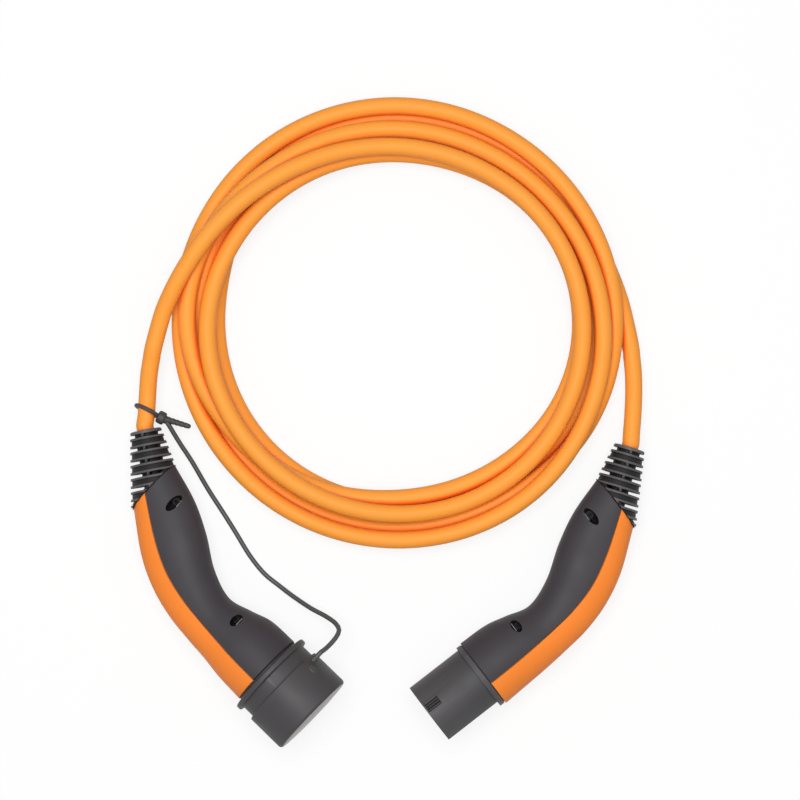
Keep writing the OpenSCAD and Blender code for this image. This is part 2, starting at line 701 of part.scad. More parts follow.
// Dust cap: a rubber cup with a rim at its mouth and a thick front part, in a wall and a front
cap_floor_x = shroud_mouth_x - 1.4;
cap_front_x = cap_floor_x - cap_end;
cap_step_x = cap_front_x + cap_front_len;
cap_edge_r = 3;
tether_root_x = cap_step_x - 4.6;
tether_root_z = 12;
tether_root_y = cap_front_r + 1.6;
tether_stub_r = tether_d / 2 + 0.8;
function cap_edge() = [for (a = [0 : 15 : 90])
    [cap_front_r - cap_edge_r + cap_edge_r * cos(a), cap_front_x + cap_edge_r - cap_edge_r * sin(a)]];
module dust_cap_front() color("#504e50") rotate([0, 90, 0]) rotate_extrude($fn = 128) polygon(concat(
    [[0, cap_floor_x], [cap_front_r, cap_floor_x]],
    cap_edge(),
    [[cap_front_r * 0.5, cap_front_x - cap_crown * 0.75], [0, cap_front_x - cap_crown]]
));
module dust_cap() color("#504e50") {
    rotate([0, 90, 0]) rotate_extrude($fn = 128) polygon([
        [cap_inner_r, cap_floor_x], [cap_inner_r, cap_rear_x],
        [cap_rim_r - 1, cap_rear_x], [cap_rim_r, cap_rear_x - 1],
        [cap_rim_r, cap_rear_x - cap_rim_w + 1], [cap_rim_r - 1, cap_rear_x - cap_rim_w],
        [cap_thin_r, cap_rear_x - cap_rim_w], [cap_thin_r, cap_step_x],
        [cap_front_r - 0.8, cap_step_x], [cap_front_r, cap_step_x - 0.8], [cap_front_r, cap_floor_x]
    ]);
    translate([tether_root_x, cap_thin_r * 0.92, tether_root_z]) rotate([-90, 0, 0])
        cylinder(h = tether_root_y - cap_thin_r * 0.92, r = tether_stub_r, $fn = 32);
}

// Route of the cap's tether: up off the cap, down to the floor and along the handle to the strap
tether_points = [
    from_station([tether_root_x, tether_root_y, tether_root_z]),
    from_station([tether_root_x, tether_root_y + 5, tether_root_z]),
    each placed([
        [-50.2, -47.2, 47], [-43.2, -39.8, 41.5], [-40.5, -33.9, 36], [-43.7, -28.7, 30.5],
        [-52, -23.5, 24], [-64.5, -17.5, 17], [-79, -8.8, 8.5], [-92, 0.5, 3.6], [-105, 11, 2.2],
        [-117, 26, 2.2], [-128, 44, 2.2], [-138, 60, 2.2], [-152, 82, 4], [-165, 105, 8],
        [-174.5, 120, 11.5], [-180, 129.5, 15], [-184, 136.6, 17.8], [-185.7, 138.7, 18.4]
    ])
];
module cap_tether() color("#4b4b4b") tube(route(tether_points, 1), tether_d / 2, 8);

// Strap round the cable: a loop, an eyelet beside it and a barbed tail
strap_r = 1.7;
strap_loop_r = cable_r + strap_r + 1.1;
strap_at = [-202.7, 149, 18.6] - origin;
strap_turn = -22;
eyelet_r = 3.4;
eyelet_thick = 1.9;
eyelet_reach = strap_loop_r + strap_r + eyelet_r;
barbs = 5;
barb_len = 4.4;
module ring(r, thick) rotate_extrude($fn = 64) translate([r, 0]) circle(r = thick, $fn = 32);
module tether_strap() color("#4b4b4b") translate(strap_at) rotate([0, 0, strap_turn]) {
    rotate([90, 0, 0]) ring(strap_loop_r, strap_r);
    translate([eyelet_reach, 0, 0]) rotate([0, 12, 0]) {
        ring(eyelet_r, eyelet_thick);
        for (k = [0 : barbs - 1])
            translate([eyelet_r + k * barb_len * 0.92, 0, 0]) rotate([0, 90, 0])
            cylinder(h = barb_len, r1 = 2, r2 = 1.2, $fn = 32);
    }
}

// Leads from the boots to the coil
lead_points_left = [
    from_station(boot_point(boot_len, 0, 0)),
    from_station(boot_point(boot_len + 4, 0, 0)),
    each placed([
        [-203.1, 145, 19.3], [-202.3, 162, 18.5], [-200.6, 181, 18.3], [-196.2, 202, 19.5],
        [-190, 221, 22], [-181, 244, 27], [-170, 266, 32.8], [-163, 281, 33.8]
    ])
];
lead_points_right = [
    from_vehicle(boot_point(boot_len, 0, 0)),
    from_vehicle(boot_point(boot_len + 4, 0, 0)),
    each placed([
        [204.5, 129, 17.5], [205.8, 143, 13.8], [206.7, 158, 10.5], [206.8, 176, 8.5],
        [204.4, 203, 7.6], [199, 231, 7.6], [192, 256, 7.6]
    ])
];
module cable_lead_left() color("#f5912f") tube(route(lead_points_left, 1), cable_r, 12);
module cable_lead_right() color("#f5912f") tube(route(lead_points_right, 1), cable_r, 12);

// Coil: the outer shape of its bundle of turns, a bottom row and a row that rests on it
coil_xy = [7.7 - origin[0], 223.2 - origin[1]];
pitch = cable_d * turn_pitch;
bottom_r = [for (k = [0 : coil_turns - 1]) coil_outer_r - cable_r - k * pitch];
top_r = [for (r = bottom_r) r - pitch / 2];
top_z = cable_r + pitch * sqrt(3) / 2;
module cable_coil() color("#f5912f") translate([coil_xy[0], coil_xy[1], 0])
    rotate_extrude($fn = 180) {
        for (r = bottom_r) translate([r, cable_r]) circle(r = cable_r, $fn = 48);
        for (r = top_r) translate([r, top_z]) circle(r = cable_r, $fn = 48);
        polygon([[bottom_r[0], cable_r], [top_r[0], top_z], [top_r[coil_turns - 1], top_z],
            [bottom_r[coil_turns - 1], cable_r]]);
    }

at_station() shell_upper(station_front_r);  // station_shell_upper
at_station() shell_lower(station_front_r);  // station_shell_lower
at_station() back_strip(station_front_r);  // station_back_strip
at_station() station_shroud();
at_station() pin_carrier();  // station_pin_carrier
at_station() pin(L1);  // station_pin_l1
at_station() pin(L2);  // station_pin_l2
at_station() pin(L3);  // station_pin_l3
at_station() pin(N);  // station_pin_n
at_station() pin(PE);  // station_pin_pe
at_station() pin(CP);  // station_pin_cp
at_station() pin(PP);  // station_pin_pp
at_station() boot(station_front_r);  // station_boot
at_station() cord_clamp();  // station_cord_clamp
at_station() clamp_screws();  // station_clamp_screws
at_station() shell_screws(station_front_r);  // station_shell_screws
at_station() front_seal(shroud_collar_r, shroud_spigot_r);  // station_front_seal
at_station() inner_wires();  // station_inner_wires
at_station() coding_resistor();  // station_coding_resistor
at_station() cable_end();  // station_cable_end
at_station() dust_cap();
at_station() dust_cap_front();
cap_tether();
tether_strap();
at_vehicle() shell_upper(vehicle_front_r);  // vehicle_shell_upper
at_vehicle() shell_lower(vehicle_front_r);  // vehicle_shell_lower
at_vehicle() back_strip(vehicle_front_r);  // vehicle_back_strip
at_vehicle() vehicle_nose();
at_vehicle() socket_carrier();  // vehicle_socket_carrier
at_vehicle() socket(L1);  // vehicle_socket_l1
at_vehicle() socket(L2);  // vehicle_socket_l2
at_vehicle() socket(L3);  // vehicle_socket_l3
at_vehicle() socket(N);  // vehicle_socket_n
at_vehicle() socket(PE);  // vehicle_socket_pe
at_vehicle() socket(CP);  // vehicle_socket_cp
at_vehicle() socket(PP);  // vehicle_socket_pp
at_vehicle() boot(vehicle_front_r);  // vehicle_boot
at_vehicle() cord_clamp();  // vehicle_cord_clamp
at_vehicle() clamp_screws();  // vehicle_clamp_screws
at_vehicle() shell_screws(vehicle_front_r);  // vehicle_shell_screws
at_vehicle() front_seal(nose_collar_r, nose_spigot_r);  // vehicle_front_seal
at_vehicle() inner_wires();  // vehicle_inner_wires
at_vehicle() coding_resistor();  // vehicle_coding_resistor
at_vehicle() cable_end();  // vehicle_cable_end
cable_lead_left();
cable_coil();
cable_lead_right();
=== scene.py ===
"""Looks of an electric car charging cable: two handles, a dust cap and one coiled cable."""

import math
from collections import namedtuple

import bmesh
import bpy
from bpy.props import FloatProperty, FloatVectorProperty, IntProperty, PointerProperty
from mathutils import Matrix, Vector


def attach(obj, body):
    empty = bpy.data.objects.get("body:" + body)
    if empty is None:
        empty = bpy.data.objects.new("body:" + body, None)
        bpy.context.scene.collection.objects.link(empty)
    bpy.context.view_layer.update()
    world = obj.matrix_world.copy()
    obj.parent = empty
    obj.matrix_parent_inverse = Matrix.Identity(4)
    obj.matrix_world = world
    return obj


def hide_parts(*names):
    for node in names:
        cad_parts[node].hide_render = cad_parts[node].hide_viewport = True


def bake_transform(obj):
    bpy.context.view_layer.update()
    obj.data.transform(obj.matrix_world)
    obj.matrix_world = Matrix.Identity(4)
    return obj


bl_info = {
    "name": "Charging Cable Looks",
    "version": (1, 0, 0),
    "blender": (4, 5, 0),
    "location": "3D View > Sidebar > Charging Cable",
    "description": "Builds the visible pieces, materials, light and camera of a charging cable",
    "category": "Object",
}

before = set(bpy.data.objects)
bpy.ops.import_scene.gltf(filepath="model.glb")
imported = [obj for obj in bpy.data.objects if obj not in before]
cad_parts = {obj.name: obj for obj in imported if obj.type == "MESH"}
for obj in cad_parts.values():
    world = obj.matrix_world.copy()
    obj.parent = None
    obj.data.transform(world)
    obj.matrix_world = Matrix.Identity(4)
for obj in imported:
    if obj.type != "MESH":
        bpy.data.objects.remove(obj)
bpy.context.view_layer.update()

MM = 0.001
ORIGIN = Vector((-0.4193, 2.2654, 0.0))
ROOT = "cable_set"
CAP = "cap"

# Edges sharper than these angles, in degrees, stay sharp
CREASE = 32.0
CAP_CREASE = 30.0
CORD_CREASE = 35.0


# Handles: the same frames and sections as the part's source, in millimetres

SHELL_X = 4.0
HANDLE_LEN = 174.0
REAR_X = SHELL_X + HANDLE_LEN
BOOT_ANGLE = 35.5
BOOT_Y = 46.5
BOOT_LEN = 47.5
BOOT_END_R = 13.3
BOOT_TAPER = 0.175
# Painted shade on the boots: faces this far below the rims, and leaning less than this along the boot's
# axis, take a darker material
CHANNEL_DEPTH = 1.0
CHANNEL_LEAN = 0.3
STRIP_T = 2.2
FIT = 0.3
SHELL_WALL = 3.2
BACK_WALL = 2.0

# Around a section, in radians: the skin's start beside the split between the shells, its distance
# from the strip's edge, and the gap beside the strip
SPLIT_ANGLE = 0.012
GROOVE_ANGLE = 0.018
STRIP_GAP = math.radians(0.6)

# Rounded end edges of the shells: share of the length, and inset from the skin
END_EDGE = ((0.0, 0.55), (0.0009, 0.28), (0.002, 0.1), (0.0034, 0.0))

Section = namedtuple("Section", "x middle half thickness roundness edge")
Well = namedtuple("Well", "share shift half_length rib_off")

# Screw wells of the upper shells, each an almond-shaped pocket beside the seat of a screw
WELLS = (Well(0.27, (-1.75, 1.8), 7.0, 2.0), Well(0.865, (-0.2, -1.2), 8.9, 2.9))
WELL_ACROSS = 0.62
WELL_R = 3.9
WELL_DEPTH = 9.0
WELL_LIP = 0.5
BOSS_WALL = 1.9
BOSS_END_WALL = 2.0
POST_FOOT = 0.2
POST_LEN = 14.0
SEAT_FOOT = 9.0
SEAT_UNDER_SKIN = 5.0
# Ridge in each well that carries a painted highlight: its radius and its reach along the well
RIB_R = 0.45
RIB_REACH = 0.95
CORE_SPAN = 0.12
CORE_INSET = 1.2
CORE_FOOT = -0.5

# Cap and noses, along each handle's own X axis
CAP_INNER_R = 31.9
CAP_THIN_R = CAP_INNER_R + 3.1
CAP_FRONT_R = CAP_THIN_R + 2.9
CAP_RIM_R = CAP_THIN_R + 3.6
CAP_REAR_X = 1.5
CAP_RIM_X = CAP_REAR_X - 4.6
CAP_FLOOR_X = -45.6
CAP_FRONT_X = CAP_FLOOR_X - 4
CAP_STEP_X = CAP_FRONT_X + 35.1
CAP_EDGE = 3.0
CAP_STEP_EDGE = 0.8
CAP_RIM_EDGE = 1.2
CAP_CROWN = ((0, 1.2), (10, 1.1), (CAP_FRONT_R / 2, 0.9), (CAP_FRONT_R * 0.75, 0.5))
STUB_END = (CAP_STEP_X - 4.6, CAP_FRONT_R + 1.6, 12.0)
STUB_FOOT = CAP_THIN_R * 0.92
STUB_R = (2.5, 2.1)
OVAL_LEAN = 57.0
OVAL_FROM_STEP = 10
OVAL_R = (3.0, 2.6)
OVAL_STRETCH = 1.35
OVAL_T = 0.5
OVAL_SINK = 0.15
CARRIER_X = (-50.5, -10.0)
CARRIER_R = 24.7
CARRIER_FLAT = 21.45
CARRIER_FACE_T = 2.2
SLEEVE_WALL = 1.5
SLEEVE_GAP = 0.15
HOLE_GAP = 0.35
FUNNEL_LEN = 1.2
FUNNEL_GAPS = (1.6, 0.34)
LOCK_BOX = ((-50.7, 4.7, 23.4), (-37.7, 13.0, 60.0))
LOCK_PAD = 1.9
# Box of the cap's end face, whose faces take a paler colour, a painted highlight
CAP_FACE_BOX = ((-60, -60, -60), (CAP_FRONT_X + 0.25, 60, 60))
CONTACTS = {
    "l1": (0, 17, 3), "l2": (14.7, 8.5, 3), "l3": (14.7, -8.5, 3), "n": (0, -17, 3),
    "pe": (0, 0, 3), "cp": (-13.5, 9.5, 1.5), "pp": (-13.5, -9.5, 1.5),
}


def signed_power(v, p):
    """Power of a value's size, with the value's sign."""
    return math.copysign(abs(v) ** p, v)


def shares(start, end, steps):
    """Values in equal steps from start to end, with both."""
    return [start + (end - start) * k / steps for k in range(steps + 1)]


def cubic(start, leave, end, arrive, u):
    """Smooth run from start to end at share u, with its slopes at both."""
    return (
        start * (2 * u**3 - 3 * u * u + 1) + leave * (u**3 - 2 * u * u + u)
        + end * (3 * u * u - 2 * u**3) + arrive * (u**3 - u * u)
    )


def table_value(table, x, column=1):
    """Smooth value of a table's column at x, where the first column rises or falls."""
    last = len(table) - 2
    i = next((k for k in range(last) if (x - table[k][0]) * (x - table[k + 1][0]) <= 0), last)
    a, b = table[i], table[i + 1]
    before, after = table[max(i - 1, 0)], table[min(i + 2, last + 1)]
    span = b[0] - a[0]
    leave = (b[column] - before[column]) / (b[0] - before[0]) * span
    arrive = (after[column] - a[column]) / (after[0] - a[0]) * span
    return cubic(a[column], leave, b[column], arrive, (x - a[0]) / span)


class Handle:
    """One handle: its place on the floor and the sections of its shells."""

    def __init__(self, name, xy, heading, tilt, roll, lift, mirrored, front_r):
        self.name = name
        turn = Matrix.Rotation(math.radians(heading), 4, "Z")
        tip = Matrix.Rotation(math.radians(tilt), 4, "Y")
        flip = Matrix.Diagonal((1, -1 if mirrored else 1, 1, 1))
        lean = Matrix.Rotation(math.radians(roll), 4, "X")
        place = Matrix.Translation((xy[0] - ORIGIN.x, xy[1] - ORIGIN.y, lift))
        self.matrix = place @ turn @ tip @ flip @ lean
        self.mirrored = mirrored
        # Share of the length, inner side, outer side, strip's edge, half thickness, roundness
        self.rows = [
            (0, front_r, -front_r, -7.1, front_r, 2),
            (0.15, front_r - 0.9, -front_r + 1.2, -6.8, front_r - 1.2, 2),
            (0.253, 26, -29, -6.1, 27.5, 2.1),
            (0.374, 20.8, -27.3, -5, 23.5, 2.2),
            (0.517, 29.3, -24.5, -2.5, 21.5, 2.2),
            (0.667, 46.5, -17.4, 4.2, 21.5, 2.2),
            (0.816, 59.6, -4.5, 17.7, 21.5, 2.2),
            (1, 69.5, 19.5, 39.4, 20, 2.1),
        ]

    def at(self, x, y, z):
        """A point of the handle's own frame in the row frame, in metres."""
        return (self.matrix @ Vector((x, y, z))) * MM

    def section(self, f):
        """Section of the shells at a share of their length, with the angle of the strip's edge."""
        inner, outer, strip, thickness, roundness = (table_value(self.rows, f, c) for c in range(1, 6))
        middle, half = (inner + outer) / 2, (inner - outer) / 2
        edge = math.acos(signed_power((strip - middle) / half, roundness / 2))
        return Section(SHELL_X + f * HANDLE_LEN, middle, half, thickness, roundness, edge)

    def skin_z(self, x, y):
        """Height of the upper shell's skin over the plane between the shells."""
        s = self.section((x - SHELL_X) / HANDLE_LEN)
        return s.thickness * (1 - (abs(y - s.middle) / s.half) ** s.roundness) ** (1 / s.roundness)

    def boot_point(self, s):
        """A point on the boot's axis, in metres, at a distance behind the shells."""
        a = math.radians(BOOT_ANGLE)
        return self.at(REAR_X + s * math.cos(a), BOOT_Y + s * math.sin(a), 0)


def skin(s, angle, inset):
    """Point around a section, an inset below the skin, by the angle from the inner side."""
    return (
        s.x,
        s.middle + (s.half - inset) * signed_power(math.cos(angle), 2 / s.roundness),
        (s.thickness - inset) * signed_power(math.sin(angle), 2 / s.roundness),
    )


STATION = Handle("station", (-97.4, -69.9), 136.5, 6.7, 5.0, 38.6513, True, 32.6)
VEHICLE = Handle("vehicle", (76.3, -72.8), 37.5, 3.1, 0.0, 31.5618, False, 31.1)
HANDLES = (STATION, VEHICLE)


# Mesh helpers

def new_object(name, data):
    """New object of the scene for a mesh, a curve, a light or a camera."""
    obj = bpy.data.objects.new(name, data)
    bpy.context.scene.collection.objects.link(obj)
    return obj


def mesh_of(name, verts, faces):
    """Mesh of points and faces as they come."""
    mesh = bpy.data.meshes.new(name)
    mesh.from_pydata([tuple(v) for v in verts], [], faces)
    mesh.validate()
    mesh.update()
    return mesh


def solid(name, rings, faces, weld=False):
    """Closed mesh on rings of points, with its faces turned outward and, on request, welded."""
    mesh = mesh_of(name, [p for ring in rings for p in ring], faces)
    bm = bmesh.new()
    bm.from_mesh(mesh)
    if weld:
        bmesh.ops.remove_doubles(bm, verts=bm.verts, dist=1e-5)
        bmesh.ops.dissolve_degenerate(bm, dist=1e-6, edges=bm.edges)
    bmesh.ops.recalc_face_normals(bm, faces=bm.faces)
    bm.to_mesh(mesh)
    bm.free()
    return mesh


def smooth(obj, angle):
    """Smooth shading that keeps edges sharper than an angle in degrees."""
    for p in obj.data.polygons:
        p.use_smooth = True
    obj.data.set_sharp_from_angle(angle=math.radians(angle))


def walls(rings):
    """Faces between rings that follow each other, and the number of the last ring's first point."""
    count, last = len(rings[0]), (len(rings) - 1) * len(rings[0])
    faces = []
    for start in range(0, last, count):
        for i in range(count):
            a, b = start + i, start + (i + 1) % count
            faces.append((a, b, b + count, a + count))
    return faces, last


def lofted(name, rings):
    """Loft whose rings are closed C shapes: the caps are strips between both sides of the C."""
    faces, last = walls(rings)
    count = len(rings[0])
    for i in range(count // 2 - 1):
        a, b, c, d = i, i + 1, count - 2 - i, count - 1 - i
        faces.append((a, b, c, d))
        faces.append((last + d, last + c, last + b, last + a))
    return solid(name, rings, faces)


def stacked(name, rings):
    """Solid through rings, with a flat cap at each end."""
    faces, last = walls(rings)
    faces.append(tuple(range(len(rings[0]) - 1, -1, -1)))
    faces.append(tuple(range(last, last + len(rings[0]))))
    return solid(name, rings, faces)


def circle(middle, u, v, radius, sides):
    """Points around a circle in the plane of two directions."""
    turns = shares(0, 2 * math.pi, sides)[:-1]
    return [middle + u * (radius * math.cos(a)) + v * (radius * math.sin(a)) for a in turns]


def circle_at(x, radius, sides):
    """Circle around the X axis."""
    return circle(Vector((x, 0, 0)), Vector((0, 1, 0)), Vector((0, 0, 1)), radius, sides)


def tube_mesh(name, points, radius, sides):
    """Closed tube along points, in their own unit."""
    up = Vector((0, 0, 1))
    rings = []
    for i, p in enumerate(points):
        along = (points[min(i + 1, len(points) - 1)] - points[max(i - 1, 0)]).normalized()
        u = up.cross(along)
        u = u.normalized() if u.length > 1e-4 else Vector((1, 0, 0))
        rings.append(circle(p, u, along.cross(u), radius, sides))
    return stacked(name, rings)


def spun_mesh(name, profile, sides):
    """Solid of revolution about X from (x, r) pairs that start and end on the axis."""
    rings = [circle_at(x, r, sides) for x, r in profile]
    return solid(name, rings, walls(rings)[0], weld=True)


def cylinder_mesh(name, base, axis, length, radius, sides=64, radius_top=None):
    """Cylinder or cone from its base along an axis."""
    base, axis = Vector(base), Vector(axis)
    side = axis.orthogonal().normalized()
    ends = ((base, radius), (base + axis * length, radius_top or radius))
    return stacked(name, [circle(p, side, axis.cross(side), r, sides) for p, r in ends])


def combined(mesh, others, operation):
    """The mesh after booleans with other meshes, one after another."""
    obj = new_object("boolean_work", mesh)
    tools = []
    for k, other in enumerate(others):
        tool = new_object(f"boolean_tool_{k}", other)
        modifier = obj.modifiers.new(f"cut_{k}", "BOOLEAN")
        modifier.operation = operation
        modifier.solver = "EXACT"
        modifier.object = tool
        tools.append(tool)
    bpy.context.view_layer.update()
    result = bpy.data.meshes.new_from_object(obj.evaluated_get(bpy.context.evaluated_depsgraph_get()))
    for o in [obj] + tools:
        bpy.data.objects.remove(o)
    return result


def joined(name, meshes):
    """One mesh of several, each closed by itself."""
    bm = bmesh.new()
    for mesh in meshes:
        bm.from_mesh(mesh)
    result = bpy.data.meshes.new(name)
    bm.to_mesh(result)
    bm.free()
    return result


def arc(x, r, radius, start, end, steps=5):
    """Profile points on an arc about (x, r), by angles in degrees from the X direction."""
    angles = [math.radians(a) for a in shares(start, end, steps)]
    return [(x + radius * math.cos(a), r + radius * math.sin(a)) for a in angles]


def placed(name, mesh, handle, crease):
    """New object of a mesh that moves from a handle's frame, in millimetres, to the row frame."""
    mesh.transform(Matrix.Scale(MM, 4) @ handle.matrix)
    if handle.mirrored:
        mesh.flip_normals()
    mesh.update()
    obj = new_object(name, mesh)
    smooth(obj, crease)
    return obj


def coat(obj, material):
    """Gives an object one material."""
    obj.data.materials.clear()
    obj.data.materials.append(material)


def finish_piece(obj, body, material, slot, *nodes):
    """Gives a piece its material and, where one is given, its body, and hides the nodes that it stands
    for; the slot is not used.
    """
    coat(obj, material)
    if body:
        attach(obj, body)
    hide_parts(*nodes)


def dress(node, material):
    """Gives a CAD node that stays in view its material."""
    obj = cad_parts[node]
    coat(obj, material)
    smooth(obj, CREASE)


# Shader groups and materials

WHITE = (1, 1, 1, 1)


def fill(tree, node, inputs):
    """Gives each named input of a node its value, or a link where an output socket is given."""
    for name, value in inputs.items():
        if isinstance(value, bpy.types.NodeSocket):
            tree.links.new(value, node.inputs[name])
        else:
            node.inputs[name].default_value = value


def add_node(tree, kind, inputs=None, **settings):
    """New shader node with its settings and inputs."""
    node = tree.nodes.new(f"ShaderNode{kind}")
    for name, value in settings.items():
        setattr(node, name, value)
    fill(tree, node, inputs or {})
    return node


def mixed(tree, share, first, second, blend="MIX"):
    """Colour that goes from the first to the second with the share."""
    inputs = {"Factor": share, "A": first, "B": second}
    return add_node(tree, "Mix", inputs, data_type="RGBA", blend_type=blend).outputs["Result"]


def ranged(tree, value, **ends):
    """Value spread from one range to another: from_min, from_max, to_min and to_max."""
    inputs = {end.replace("_", " ").title(): given for end, given in ends.items()}
    return add_node(tree, "MapRange", {"Value": value, **inputs}).outputs["Result"]


def computed(tree, operation, first, second):
    """Result of a calculation on two values."""
    return add_node(tree, "Math", {0: first, 1: second}, operation=operation).outputs["Value"]


def node_group(name, inputs, outputs):
    """New shader group with named inputs, and its inner input sockets and output node."""
    tree = bpy.data.node_groups.new(name, "ShaderNodeTree")
    for label, value in inputs.items():
        kind = "NodeSocketFloat" if isinstance(value, float) else "NodeSocketColor"
        tree.interface.new_socket(name=label, in_out="INPUT", socket_type=kind).default_value = value
    for label, kind in outputs.items():
        tree.interface.new_socket(name=label, in_out="OUTPUT", socket_type=kind)
    return tree, tree.nodes.new("NodeGroupInput").outputs, tree.nodes.new("NodeGroupOutput")


def grain_group():
    """Moulded grain: a fine bump and a mottled roughness, in object space."""
    name = "moulded_grain"
    if name in bpy.data.node_groups:
        return bpy.data.node_groups[name]
    tree, given, out = node_group(
        name,
        {"Scale": 2600.0, "Depth": 0.25, "Rough low": 0.45, "Rough high": 0.6},
        {"Normal": "NodeSocketVector", "Roughness": "NodeSocketFloat", "Mottle": "NodeSocketFloat"},
    )
    at = add_node(tree, "TexCoord").outputs["Object"]
    fine = add_node(tree, "TexNoise", {"Vector": at, "Scale": given["Scale"], "Detail": 4.0})
    bump_inputs = {"Height": fine.outputs["Fac"], "Strength": given["Depth"], "Distance": 0.0001}
    bump = add_node(tree, "Bump", bump_inputs)
    broad = add_node(tree, "TexNoise", {"Vector": at, "Scale": 38.0, "Detail": 5.0}).outputs["Fac"]
    rough = ranged(tree, broad, from_min=0.3, from_max=0.7,
                   to_min=given["Rough low"], to_max=given["Rough high"])
    fill(tree, out, {"Normal": bump.outputs["Normal"], "Roughness": rough, "Mottle": broad})
    return tree


def tint_group():
    """Colour that drifts a little over the surface, pales at sharp edges (partly abrasion, partly a
    painted highlight) and takes painted shade in hollows.
    """
    name = "worn_tint"
    if name in bpy.data.node_groups:
        return bpy.data.node_groups[name]
    inputs = {
        "Base": (0.1, 0.1, 0.1, 1), "Drift": (0.12, 0.12, 0.12, 1), "Edge": (0.2, 0.2, 0.2, 1),
        "Edge amount": 0.5, "Mottle": 0.5, "Cavity": 0.5, "Hollow": (0.25, 0.22, 0.22, 1),
    }
    tree, given, out = node_group(name, inputs, {"Color": "NodeSocketColor"})
    drift = mixed(tree, given["Mottle"], given["Base"], given["Drift"])
    # Paler sharp edges: partly abrasion, partly a painted highlight
    pointed = add_node(tree, "NewGeometry").outputs["Pointiness"]
    upstanding = ranged(tree, pointed, from_min=0.53, from_max=0.62)
    abrasion_and_highlight = computed(tree, "MULTIPLY", upstanding, given["Edge amount"])
    abraded_and_highlit = mixed(tree, abrasion_and_highlight, drift, given["Edge"])
    # Painted shade: ambient occlusion darkens hollows, creases and gaps between parts towards the
    # Hollow colour
    open_air = add_node(tree, "AmbientOcclusion", {"Distance": 0.006}, samples=8).outputs["AO"]
    hidden = ranged(tree, open_air, from_min=0.85, from_max=0.25)
    shade = computed(tree, "MULTIPLY", hidden, given["Cavity"])
    fill(tree, out, {"Color": mixed(tree, shade, abraded_and_highlit, given["Hollow"], "MULTIPLY")})
    return tree


def moulded(name, base, drift, edge, rough=(0.45, 0.6), scale=2600.0, depth=0.25, edge_amount=0.5,
            specular=0.5, metallic=0.0, cavity=0.5, hollow=(0.25, 0.22, 0.22)):
    """A moulded plastic, rubber or metal finish."""
    # Hollow and cavity give painted shade in hollows and gaps; Edge and edge_amount give paler sharp
    # edges, partly abrasion and partly a painted highlight
    name = f"{name}_finish"
    if name in bpy.data.materials:
        return bpy.data.materials[name]
    material = bpy.data.materials.new(name)
    material.use_nodes = True
    tree = material.node_tree
    grain_inputs = {"Scale": scale, "Depth": depth, "Rough low": rough[0], "Rough high": rough[1]}
    grain = add_node(tree, "Group", grain_inputs, node_tree=grain_group()).outputs
    tint_inputs = {
        "Base": (*base, 1), "Drift": (*drift, 1), "Edge": (*edge, 1), "Edge amount": edge_amount,
        "Mottle": grain["Mottle"], "Cavity": cavity, "Hollow": (*hollow, 1),
    }
    tint = add_node(tree, "Group", tint_inputs, node_tree=tint_group()).outputs
    fill(tree, tree.nodes["Principled BSDF"], {
        "Base Color": tint["Color"], "Roughness": grain["Roughness"], "Normal": grain["Normal"],
        "Specular IOR Level": specular, "Metallic": metallic,
    })
    return material


